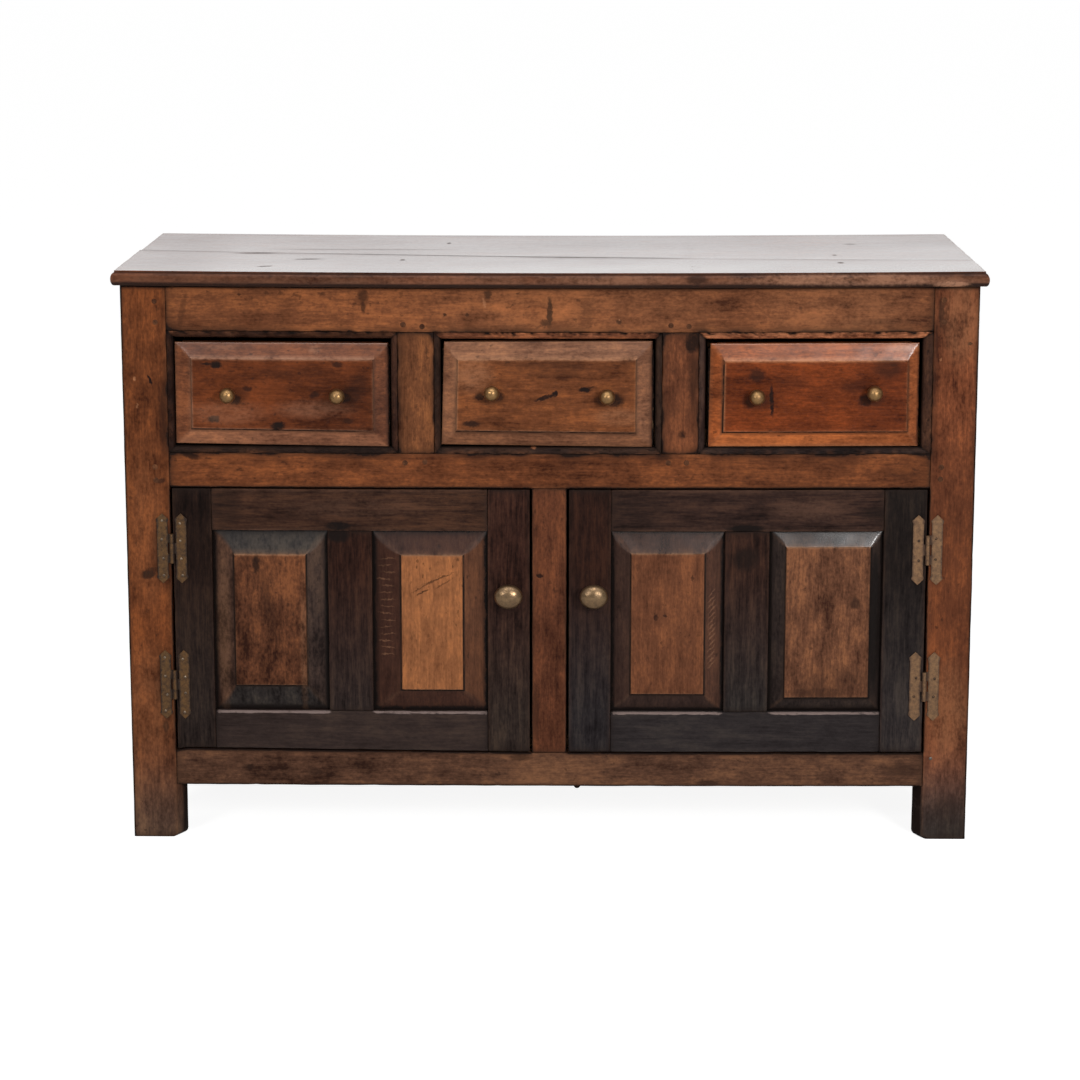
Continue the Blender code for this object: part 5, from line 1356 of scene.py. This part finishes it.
drawerFronts = {
    "left": {
        "mid": (76, 37, 18),
        "second": (122, 79, 57),
        "sides": (0.30, 0.25, 1.0, 0.22),
        "bevels": (0.0245, 0.0220, 0.0240, 0.0235),
        "strays": ((-0.0007, 0.0029), (-0.0015, -0.0008), (0.0, -0.0014), (-0.0015, -0.0009)),
        "polish": (0.90, 1.0),
        "glossFrom": (0.8, 0.8),
        "rub": (150, 108, 84),
        "marks": [
            (-0.4907, 0.7248, 0.0095, 0.0062, 0, 1.0), (-0.5020, 0.7260, 0.0100, 0.0024, 0, 0.9),
            (-0.4954, 0.6440, 0.0105, 0.0056, 0, 1.0), (-0.4013, 0.6336, 0.0120, 0.0075, 0, 1.0),
            (-0.4457, 0.6890, 0.0085, 0.0045, 0, 0.75), (-0.3469, 0.6800, 0.0085, 0.0055, 25, 0.75),
            (-0.3117, 0.7250, 0.0090, 0.0050, 0, 0.75), (-0.2976, 0.6411, 0.0100, 0.0040, 0, 0.65),
            (-0.2807, 0.6928, 0.0160, 0.0220, 0, 0.40), (-0.5011, 0.6736, 0.0080, 0.0030, 0, 0.35),
            # the next four marks are painted shadows beside and below the two knobs
            (-0.4640, 0.6735, 0.0120, 0.0090, 0, 0.90), (-0.4560, 0.6800, 0.0150, 0.0120, 0, 0.40),
            (-0.3020, 0.6760, 0.0120, 0.0095, 0, 0.95), (-0.2920, 0.6800, 0.0200, 0.0160, 0, 0.60),
            (-0.380, 0.7150, 0.060, 0.010, 0, 0.22),
        ],
        "pale": [
            (-0.345, 0.7470, 0.010, 0.007, 0, 0.35), (-0.480, 0.7500, 0.030, 0.004, 0, 0.25),
            (-0.475, 0.6530, 0.060, 0.018, 0, 0.22), (-0.350, 0.6580, 0.060, 0.014, 0, 0.22),
        ],
    },
    "centre": {
        "mid": (99, 56, 31),
        "second": (118, 80, 59),
        "sides": (0.70, 0.70, 0.60, 1.0),
        "bevels": (0.0210, 0.0245, 0.0220, 0.0255),
        "strays": ((-0.0015, 0.0029), (-0.0020, -0.0008), (0.0029, 0.0013), (-0.0020, 0.0027)),
        "polish": (0.1, 0.35),
        "glossFrom": (0.8, 0.8),
        "rub": (158, 112, 82),
        "marks": [
            (0.0522, 0.6885, 0.0100, 0.0048, 0, 1.0), (0.0600, 0.6910, 0.0070, 0.0016, 15, 0.7),
            (0.0086, 0.6822, 0.0058, 0.0058, 0, 1.0), (-0.0064, 0.6769, 0.0190, 0.0032, 18, 0.95),
            (-0.1032, 0.6778, 0.0085, 0.0060, 0, 0.95), (-0.1143, 0.6371, 0.0150, 0.0052, 0, 0.85),
            # the next four marks are painted shadows beside and below the two knobs
            (-0.0760, 0.6780, 0.0110, 0.0085, 0, 0.80), (-0.0820, 0.6740, 0.0190, 0.0110, 0, 0.50),
            (0.0760, 0.6720, 0.0110, 0.0080, 0, 0.70), (0.0960, 0.6730, 0.0150, 0.0110, 0, 0.90),
            (0.005, 0.7190, 0.075, 0.014, 0, 0.30),
        ],
        "pale": [(-0.112, 0.7090, 0.030, 0.028, 0, 0.32), (0.100, 0.6480, 0.035, 0.014, 0, 0.25)],
    },
    "right": {
        "mid": (94, 42, 17),
        "second": (150, 84, 46),
        "sides": (0.33, 0.64, 0.76, 0.44),
        # painted shadows under the field's step, painted highlights on the step and a pale rim that is wear and a
        # painted highlight
        "lines": {
            "stepShadow": (1.4, 0.9, 1.3, 0.1),
            "stepLight": (0.7, 0.3, 0.4, 0.8),
            "rimEdge": (0.30, 0.0, 1.0, 0.30),
        },
        "bevels": (0.0210, 0.0170, 0.0230, 0.0250),
        "strays": ((0.0004, 0.0), (0.0026, 0.0006), (0.0025, -0.0009), (0.0018, -0.0009)),
        "polish": (0.8, 1.0),
        "polishIor": 1.60,
        "glossFrom": (0.90, 1.0),
        "rub": (178, 120, 84),
        "marks": [
            (0.3058, 0.7105, 0.0130, 0.0110, 0, 0.75), (0.3274, 0.6723, 0.0034, 0.0270, 3, 0.95),
            (0.4514, 0.6932, 0.0260, 0.0120, 0, 0.35), (0.4973, 0.7224, 0.0240, 0.0170, 0, 0.60),
            # the next four marks are painted shadows beside and below the two knobs
            (0.2960, 0.6710, 0.0115, 0.0105, 0, 0.75), (0.3080, 0.6720, 0.0200, 0.0120, 0, 0.55),
            (0.4660, 0.6740, 0.0125, 0.0105, 0, 0.85), (0.4760, 0.6740, 0.0190, 0.0110, 0, 0.50),
            (0.3600, 0.7030, 0.0300, 0.0100, 0, 0.22),
        ],
        # a painted highlight at the right end of the top bevel
        "pale": [(0.520, 0.7510, 0.026, 0.008, 0, 0.4)],
    },
}


def makeDrawerFronts():
    for number, (hand, made) in enumerate(drawerFronts.items()):
        node = f"{hand}_drawer_front"
        lo, hi = boxOf(node)
        fieldY, backY = lo[1], hi[1]
        heights = (faceY + drawerFrontSettings["edgeBack"], fieldY + drawerFrontSettings["step"], fieldY, backY)
        lap = drawerSettings["lap"]
        laps = (lo[0] + lap - 0.00005, lo[0] + lap, hi[0] - lap, hi[0] - lap + 0.00005)
        surface = fieldedSurface(lo, hi, made["bevels"], 0.0, heights, 600 + 9 * number,
                                 laps=laps, lapY=backY - drawerFrontSettings["lapDeep"],
                                 sides=made["sides"], strays=made["strays"],
                                 **{**drawerSettings, **made.get("lines", {})})
        surface["gloss"] = surface["gloss"] * np.interp(surface["points"][:, 0], (0.455, 0.472), made["glossFrom"])
        finish = oakFinish(f"{hand}DrawerOak", made["mid"], made["marks"], made["pale"], made["second"],
                           rub=made["rub"], rough=0.38, shine=0.06, mottle=0.6,
                           polish=made["polish"], polishRough=0.26, polishIor=made.get("polishIor", 1.5))
        putPiece(camel(node), surface, finish, f"{hand}_drawer", [node], sharp=32.0)


makeDrawerFronts()
print("drawer fronts made")


# Doors: dark joined frames and four fielded panels

doorFrameTones = {
    "left_door_hinge_stile": ((27, 16, 12), (36, 28, 25)),
    "left_door_lock_stile": ((50, 29, 22), (41, 32, 28)),
    "left_door_top_rail": ((48, 30, 22), (48, 30, 22)),
    "left_door_bottom_rail": ((45, 35, 32), (45, 35, 32)),
    "left_door_muntin": ((40, 22, 16), (38, 30, 28)),
    "right_door_hinge_stile": ((24, 18, 16), (38, 33, 33)),
    "right_door_lock_stile": ((34, 18, 13), (34, 30, 31)),
    "right_door_top_rail": ((43, 28, 23), (43, 28, 23)),
    "right_door_bottom_rail": ((40, 35, 35), (40, 35, 35)),
    "right_door_muntin": ((43, 26, 20), (37, 33, 32)),
}
doorMarks = {
    "left_door_top_rail": [(-0.3145, 0.4820, 0.022, 0.008, 0, 1.0), (-0.480, 0.508, 0.024, 0.034, 0, 0.45)],
    "left_door_muntin": [(-0.3145, 0.4680, 0.020, 0.012, 0, 0.9)],
    "right_door_top_rail": [
        (0.2925, 0.4790, 0.030, 0.007, 0, 1.0), (0.49, 0.5030, 0.03, 0.012, 0, 0.6),
        (0.130, 0.508, 0.060, 0.030, 0, 0.3),
    ],
    "right_door_muntin": [(0.2925, 0.4330, 0.024, 0.02, 20, 0.7)],
}
doorPales = {
    "left_door_top_rail": [(-0.290, 0.510, 0.110, 0.016, 0, 0.16)],
    "right_door_top_rail": [(0.385, 0.508, 0.060, 0.018, 0, 0.26)],
}
doorSettings = {
    "tenons": {"rail": 0.036, "muntin": 0.022, "stile": 0.0},
    "chamfer": 0.0027,
    "chamferInset": 0.001,
    # the chamfer tone is a pale grey that is wear and a painted highlight on the worn chamfer
    "chamferWearAndHighlight": (117, 101, 96),
    "greyLevels": (0.20, 0.42),
    "rub": (104, 74, 58),
    "stain": (20, 14, 12),
    "rough": 0.42,
    "shine": 0.05,
}


def makeDoorFrames():
    # the wood greys downwards, between two levels
    for number, (node, (mid, low)) in enumerate(doorFrameTones.items()):
        along = 0 if node.endswith("rail") else 2
        tenon = doorSettings["tenons"][node.split("_")[-1]]
        lo, hi = boxOf(node, along, tenon)
        stops = []
        if node.endswith("bottom_rail"):
            # the worn chamfer under each panel stops at the muntin
            muntin = boxOf(node.replace("bottom_rail", "muntin"))
            gap = doorSettings["chamferInset"]
            for start, end in ((lo[0] + gap, muntin[0][0] - gap), (muntin[1][0] + gap, hi[0] - gap)):
                stops.append((start, end, 1, doorSettings["chamfer"]))
        more = {"arcs": (0.0, 18.0, 45.0, 72.0, 90.0)} if stops else {}
        surface = boardSurface(lo, hi, along, 700 + 11 * number, stops, chips=18, chipDepth=0.0014, waver=0.0004,
                               edgeAmount=0.50 if node.endswith("rail") else 0.20, **more)
        surface["turned"] = np.interp(surface["points"][:, 2], doorSettings["greyLevels"], (1, 0))
        if stops:
            # the worn chamfer under each panel is painted pale: wear and a painted highlight where it catches the
            # light
            top, front = hi[2] - surface["points"][:, 2], surface["points"][:, 1] - faceY
            cut = (top < 0.0034) & (front < 0.0034) & (surface["points"][:, 0] > lo[0] + 0.004)
            inOpening = np.zeros(len(top), bool)
            for start, end, _, _ in stops:
                inOpening |= (surface["points"][:, 0] > start) & (surface["points"][:, 0] < end)
            surface["edge"] = np.where(cut & inOpening, 1.7, 0.12 * surface["edge"])
        rub = doorSettings["chamferWearAndHighlight"] if stops else doorSettings["rub"]
        finish = oakFinish(camel(node) + "Oak", mid, doorMarks.get(node, ()), doorPales.get(node, ()), low, rub=rub,
                           stain=doorSettings["stain"], rough=doorSettings["rough"], shine=doorSettings["shine"],
                           spots=0.20, bands=0.36 if stops else 0.74, mottle=0.35 if stops else 0.55)
        hand = node.split("_")[0]
        putPiece(camel(node), surface, finish, f"{hand}_door", [node])


panelSettings = {
    "tongue": 0.008,
    "depths": (0.010, 0.003, 0.0008, 0.016),  # sight edge, step, field, back
    "stepWidth": 0.0010,
    "fieldStep": 0.006,
    "waver": 0.0007,
    "fieldEdge": 0.10,
    "rimEdge": (0.0, 0.0, 0.0, 0.0),
    "mitreEdge": 0.10,
    # painted shade in the recess at the panel's sight edge and a painted shadow under the field's step; the step and
    # bevel lines are painted highlights
    "rimShade": 0.35,
    "rimDark": (1.9, 1.9, 2.2, 0.9),
    "rimWide": 0.0040,
    "stepShadow": (1.1, 1.4, 1.5, 0.2),
    "stepLight": (0.1, 0.15, 0.35, 0.9),
    "bevelHighlight": (0.0, 0.0, 0.0, 0.15),
    "shineSides": (0.0, 0.05, 0.04, 1.0),
    "grainAlong": 2,
}
doorPanels = {
    "left_door_outer_panel": {
        "polish": (0.58, 0.66),
        "bevels": (0.032, 0.033, 0.039, 0.037),
        "mid": (80, 47, 30),
        "second": (41, 36, 34),
        "sides": (0.60, 0.80, 1.0, 1.0),
        "bands": 0.30,
        "mottle": 1.05,
        "pale": [(-0.4880, 0.3300, 0.011, 0.130, 0, 0.24), (-0.3680, 0.3000, 0.006, 0.110, 0, 0.22)],
        "marks": [(-0.4377, 0.4244, 0.006, 0.016, 0, 0.8), (-0.42, 0.3630, 0.010, 0.06, 10, 0.3)],
    },
    "left_door_inner_panel": {
        "polish": (0.62, 0.7),
        "bevels": (0.043, 0.037, 0.033, 0.037),
        "mid": (126, 79, 49),
        "second": (55, 33, 25),
        "sides": (1.0, 0.76, 1.0, 1.0),
        "bands": 0.30,
        "mottle": 0.40,
        "marks": [
            (-0.1830, 0.3930, 0.028, 0.0013, 29, 0.65), (-0.1660, 0.4020, 0.030, 0.0012, 22, 0.65),
            (-0.1580, 0.3940, 0.016, 0.0012, 30, 0.50), (-0.1900, 0.3810, 0.012, 0.0015, 30, 0.80),
        ],
        "pale": [
            (-0.243 + 0.003 * math.sin(9 * step), 0.285 + 0.0105 * step, 0.011, 0.0011, 6 * math.sin(5 * step), 0.34)
            for step in range(15)
        ],
    },
    "right_door_inner_panel": {
        "polish": (0.92, 1.0),
        "bevels": (0.0300, 0.0298, 0.027, 0.034),
        "mid": (92, 55, 36),
        "second": (48, 33, 28),
        "sides": (0.95, 0.70, 1.0, 0.85),
        "bands": 0.30,
        "mottle": 0.50,
        "marks": [(0.1597, 0.3438, 0.004, 0.005, 0, 0.8), (0.1731, 0.3461, 0.003, 0.004, 0, 0.8)],
        "pale": [(0.2435, 0.270 + 0.0085 * step, 0.009, 0.0011, 48, 0.36) for step in range(14)],
    },
    "right_door_outer_panel": {
        "polish": (0.92, 1.0),
        "bevels": (0.0250, 0.0185, 0.022, 0.024),
        "mid": (93, 59, 41),
        "second": (40, 31, 28),
        "sides": (1.0, 0.95, 1.0, 0.95),
        "bands": 0.40,
        "mottle": 0.85,
        "marks": [
            (0.4576, 0.3663, 0.009, 0.010, 0, 0.6), (0.4865, 0.3350, 0.0095, 0.135, 0, 1.0),
            (0.4300, 0.2450, 0.060, 0.030, 0, 0.30), (0.405, 0.2280, 0.050, 0.010, 0, 0.5),
            (0.3900, 0.3530, 0.020, 0.020, 0, 0.15),
        ],
    },
}


def makeDoorPanels():
    for number, (node, made) in enumerate(doorPanels.items()):
        lo, hi = boxOf(node)
        heights = [faceY + depth for depth in panelSettings["depths"]]
        shape = {key: value for key, value in panelSettings.items() if key not in ("tongue", "depths")}
        surface = fieldedSurface(lo, hi, made["bevels"], panelSettings["tongue"], heights, 800 + 9 * number,
                                 sides=made["sides"], **shape)
        finish = oakFinish(camel(node) + "Oak", made["mid"], made["marks"], made.get("pale", ()), made["second"],
                           rub=(136, 98, 72), stain=(18, 12, 10), rough=0.40, shine=0.06,
                           polish=made["polish"], polishRough=0.22, polishIor=1.64,
                           bands=made["bands"], mottle=made["mottle"])
        hand = node.split("_")[0]
        putPiece(camel(node), surface, finish, f"{hand}_door", [node], sharp=32.0)


makeDoorFrames()
makeDoorPanels()
print("doors made")


# Turned brass: drawer knobs and the oval door knobs


def turnedSurface(profile, centre, turns):
    # a profile of (out, radius) turned about a line towards the front, with the two ends drawn to poles
    out, radius = np.array(profile).T
    angle = 2 * np.pi * np.arange(turns) / turns
    x = centre[0] + radius[:, None] * np.cos(angle)
    z = centre[2] + radius[:, None] * np.sin(angle)
    y = np.broadcast_to((centre[1] - out)[:, None], x.shape)
    rows, columns = x.shape
    poles = [(centre[0], centre[1] - out[0], centre[2]), (centre[0], centre[1] - out[-1], centre[2])]
    return {
        "points": np.concatenate([np.stack([x, y, z], -1).reshape(-1, 3), poles]),
        **tubeFaces(rows, columns),
    }


drawerKnobSettings = {
    "ball": 0.0117, "neck": 0.0042, "neckLong": 0.0060, "rose": 0.0065, "roseThick": 0.0015,
    "shank": 0.010, "shankRadius": 0.0031,
}
doorKnobSettings = {
    "halfWide": 0.0212, "halfHigh": 0.0184, "halfDeep": 0.0120, "neck": 0.0075, "neckLong": 0.0110,
    "rose": 0.0120, "roseThick": 0.0020, "spindle": 0.0040, "spindleBack": 0.031,
}


def knobProfile(ball, deep, neck, neckLong, rose, roseThick, shank, shankRadius):
    # shank, rounded rose, waisted neck, then the head as part of an oval
    turn = np.linspace(math.asin(min(neck / ball, 1.0)), np.pi - 0.02, 26)
    start = roseThick + neckLong
    base = start + deep * math.cos(turn[0])
    waist = np.linspace(0, 1, 7)
    profile = [(-shank, shankRadius), (0.0, shankRadius), (0.0, rose * 0.94), (0.0003, rose),
               (roseThick * 0.7, rose), (roseThick, rose * 0.9), (roseThick * 1.05, neck * 1.25)]
    foot = roseThick * 1.1
    profile += [
        (foot + (start - foot) * w, neck * (1.2 - 0.75 * math.sin(math.pi * w) ** 0.8 * 0.5))
        for w in waist[1:-1]
    ]
    profile += [(base - deep * math.cos(t), ball * math.sin(t)) for t in turn]
    return profile


def makeKnobs():
    brass = brassFinish("knobBrass", (144, 111, 72), (76, 55, 36), 0.20, 0.33, hollow=True, bump=0.2, patchy=1.5)
    chosen = drawerKnobSettings
    profile = knobProfile(chosen["ball"], chosen["ball"], chosen["neck"], chosen["neckLong"], chosen["rose"],
                          chosen["roseThick"], chosen["shank"], chosen["shankRadius"])
    for hand in ("left", "centre", "right"):
        for which in ("left", "right"):
            node = f"{hand}_drawer_{which}_knob"
            lo, hi = boxOf(node)
            face = boxOf(f"{hand}_drawer_front")[0][1] - 0.0002
            surface = turnedSurface(profile, ((lo[0] + hi[0]) / 2, face, (lo[2] + hi[2]) / 2), 40)
            out = face - surface["points"][:, 1]
            surface["grime"] = np.clip(1.4 - out / 0.009, 0, 1) * 0.9
            putPiece(camel(node), surface, brass, f"{hand}_drawer", [node], sharp=60.0)
    chosen = doorKnobSettings
    profile = knobProfile(chosen["halfHigh"], chosen["halfDeep"], chosen["neck"], chosen["neckLong"], chosen["rose"],
                          chosen["roseThick"], chosen["spindleBack"], chosen["spindle"])
    doorBrass = brassFinish("doorKnobBrass", (133, 108, 80), (56, 41, 30), 0.30, 0.26,
                            hollow=True, bump=0.2, patchy=1.6)
    iron = brassFinish("latchIron", (70, 64, 60), (52, 36, 28), 0.5, 0.5, bump=0.4)
    for hand in ("left", "right"):
        node = f"{hand}_door_turn_knob"
        lo, hi = boxOf(node)
        centreX, centreZ = (lo[0] + hi[0]) / 2, hi[2] - chosen["halfHigh"]
        surface = turnedSurface(profile, (centreX, faceY - 0.0002, centreZ), 56)
        out = faceY - surface["points"][:, 1]
        stretch = 1 + (chosen["halfWide"] / chosen["halfHigh"] - 1) * np.clip((out - 0.008) / 0.004, 0, 1)
        surface["points"][:, 0] = centreX + (surface["points"][:, 0] - centreX) * stretch
        surface["grime"] = np.clip(1.0 - out / 0.016, 0, 1) * 0.9
        putPiece(camel(node), surface, doorBrass, f"{hand}_latch", [node], sharp=60.0)
        tongue = tongueSurface(centreX, centreZ, hi[1], lo[2])
        putPiece(f"{hand}LatchTongue", tongue, iron, f"{hand}_latch")


def tongueSurface(x, z, back, tip):
    # a flat iron bar with round ends: its outline carried through its thickness, arrises eased
    half, thick = 0.0070, 0.0030
    turn = np.linspace(0, np.pi, 17)
    outlineX = np.concatenate([np.cos(turn), -np.cos(turn)])
    outlineZ = np.concatenate([np.sin(turn), -np.sin(turn)])
    middle = np.concatenate([np.full(17, z), np.full(17, tip + half)])
    levels = np.array([(0.0, 0.0006), (0.0002, 0.0002), (0.0006, 0.0), (thick - 0.0006, 0.0),
                       (thick - 0.0002, 0.0002), (thick, 0.0006)])
    depth, eased = levels[:, 0][:, None], levels[:, 1][:, None]
    px = x + (half - eased) * outlineX
    pz = middle + (half - eased) * outlineZ
    py = np.broadcast_to(back - depth, px.shape)
    rows, columns = px.shape
    poles = [(x, back, (z + tip + half) / 2), (x, back - thick, (z + tip + half) / 2)]
    return {
        "points": np.concatenate([np.stack([px, py, pz], -1).reshape(-1, 3), poles]),
        **tubeFaces(rows, columns),
    }


makeKnobs()
print("knobs and latches made")


# Hinges: packed leaves with aged brass, eased arrises and hammered nails

hingeSettings = {
    "axis": 0.5625,
    "knuckle": 0.0045,
    "nailLine": 0.014,
    "nailStray": (0.002, 0.003),
    "proud": 0.0023,
    "weld": 0.00001,
    "ease": 0.0005,
    "nailRadius": 0.0021,
    "nailHigh": 0.0011,
    "nailsAt": {"left": (-0.040, -0.014, 0.014, 0.040), "right": (-0.015, 0.015)},
}


def studSurface(places, radius, high, sides=14, sink=0.0006):
    # domed heads: a quarter-round profile turned at every place at once, closed behind and in front
    turn = np.linspace(0, np.pi / 2, 5)
    out = np.concatenate([[-sink], high * np.sin(turn)[:-1], [high * 0.995]])
    wide = np.concatenate([[radius], radius * np.cos(turn)[:-1], [radius * 0.16]])
    angle = 2 * np.pi * np.arange(sides) / sides
    places = np.asarray(places, float)
    x = places[:, 0, None, None] + wide[:, None] * np.cos(angle)
    z = places[:, 2, None, None] + wide[:, None] * np.sin(angle)
    y = np.broadcast_to(places[:, 1, None, None] - out[:, None], x.shape)
    rows = len(out)
    points = np.stack([x, y, z], -1).reshape(len(places), -1, 3)
    poles = np.stack([places + (0, sink, 0), places - (0, high, 0)], 1)
    each = rows * sides + 2
    first = np.arange(len(places))[:, None, None] * each
    faces = tubeFaces(rows, sides)
    return {
        "points": np.concatenate([points, poles], 1).reshape(-1, 3),
        "quads": (faces["quads"][None] + first).reshape(-1, 4),
        "triangles": (faces["triangles"][None] + first).reshape(-1, 3),
    }


def makeHinges():
    tones = {
        "left": ((106, 78, 50), (42, 28, 19), 0.42),
        "right": ((126, 97, 71), (70, 50, 37), 0.32),
    }
    nailFinishes = {
        "left": brassFinish("leftNails", (128, 112, 94), (52, 38, 30), 0.30, 0.35, bump=0.3),
        "right": brassFinish("rightNails", (86, 66, 50), (48, 36, 28), 0.50, 0.45, bump=0.3),
    }
    for hand, side in (("left", -1), ("right", 1)):
        for which in ("upper", "lower"):
            for leaf, body in (("frame", "carcass"), ("door", f"{hand}_door")):
                node = f"{hand}_{which}_hinge_{leaf}_leaf"
                piece = frame["nodes"][node]
                lo, hi = boxOf(node)
                axis = side * hingeSettings["axis"]
                towards = side if leaf == "frame" else -side
                near, far = axis + towards * hingeSettings["knuckle"], (hi[0] if towards > 0 else lo[0])
                bright, tarnish, age = tones[hand]
                finish = brassFinish(camel(node) + "Brass", bright, tarnish, age, 0.46, bump=0.4, patchy=2.0,
                                     leaf=(axis, (near + far) / 2, abs(far - near) / 2))
                piece.data.materials.clear()
                piece.data.materials.append(finish)
                weld = piece.modifiers.new("weld", "WELD")
                weld.merge_threshold = hingeSettings["weld"]
                bevel = piece.modifiers.new("ease", "BEVEL")
                bevel.width = hingeSettings["ease"]
                bevel.segments = 2
                bevel.limit_method = "ANGLE"
                middleX = axis + towards * hingeSettings["nailLine"]
                middleZ = (lo[2] + hi[2]) / 2
                lift = faceY - hingeSettings["proud"]
                strayX, strayZ = hingeSettings["nailStray"]
                rng = np.random.default_rng(len(node) + int(1000 * middleZ))
                places = [
                    (middleX + rng.uniform(-strayX, strayX), lift, middleZ + z + rng.uniform(-strayZ, strayZ))
                    for z in hingeSettings["nailsAt"][hand]
                ]
                surface = studSurface(places, hingeSettings["nailRadius"], hingeSettings["nailHigh"])
                putPiece(camel(node) + "Nails", surface, nailFinishes[hand], body, sharp=60.0)


makeHinges()
print("hinges made")


# Pegs through the joints, a nail and a bolt end

pegSettings = {
    "radius": 0.0043,
    "high": 0.0005,
    "railNail": (0.5752, 0.1268, 0.0026, 0.0012),  # x, z, radius, height
    "boltEnd": (0.0422, 0.012, 0.0056, 0.0062),  # x, depth behind the face, radius, height
    "carcass": [
        (-0.5802, 0.8183), (-0.5795, 0.7873), (-0.2150, 0.7864), (-0.1871, 0.7835), (0.1784, 0.7855),
        (0.2048, 0.7841), (0.2031, 0.5800), (0.1760, 0.5799), (-0.2138, 0.5792), (-0.1842, 0.5807),
        (-0.5850, 0.5710), (-0.5840, 0.5510), (0.5780, 0.8215), (0.5790, 0.7891), (0.5800, 0.5730),
        (0.5790, 0.5550),
    ],
}


def makePegs():
    dark = oakFinish("pegOak", (74, 46, 30), lie=(0, 0, 90), rough=0.6, shine=0.05)
    places = [(x, faceY + 0.0003, z) for x, z in pegSettings["carcass"]]
    surface = studSurface(places, pegSettings["radius"], pegSettings["high"], sides=10, sink=0.004)
    putPiece("carcassPegs", surface, dark, "carcass")
    iron = brassFinish("oldIron", (120, 112, 104), (44, 34, 30), 0.35, 0.5, bump=0.5)
    x, z, radius, high = pegSettings["railNail"]
    nail = studSurface([(x, faceY + 0.0002, z)], radius, high)
    putPiece("railNail", nail, iron, "carcass")
    x, back, radius, high = pegSettings["boltEnd"]
    bolt = studSurface([(0.0, 0.0, 0.0)], radius, high)
    across, out, up = bolt["points"].T
    under = boxOf("front_bottom_rail")[0][2]
    bolt["points"] = np.stack([x + across, faceY + back - up, under + out], -1)
    black = oakFinish("boltEnd", (24, 17, 14), lie=(0, 0, 0), rough=0.6)
    putPiece("railBoltEnd", bolt, black, "carcass")


makePegs()
print("pegs and nails made")


# Inside: packed boards that stay, in raw oak

innerFinishes = {
    "cupboard_floor": ((118, 90, 66), (0, 0, 0)),
    "drawer_runner_frame": ((120, 92, 68), (0, 0, 90)),
    "left_drawer_box": ((140, 106, 76), (0, 0, 90)),
    "centre_drawer_box": ((136, 104, 76), (0, 0, 90)),
    "right_drawer_box": ((138, 104, 74), (0, 0, 90)),
}
for node, (mid, lie) in innerFinishes.items():
    kept = frame["nodes"][node]
    first = min(corner[1] for corner in kept.bound_box)
    # painted shade at the front of each drawer box, which shows in the gap round the drawer
    more = {"soiled": (first + 0.003, first + 0.012)} if node.endswith("box") else {}
    raw = oakFinish(camel(node) + "Oak", mid, lie=lie, rough=0.68, shine=0.2, bump=0.4, **more)
    kept.data.materials.clear()
    kept.data.materials.append(raw)
print("inside finished")
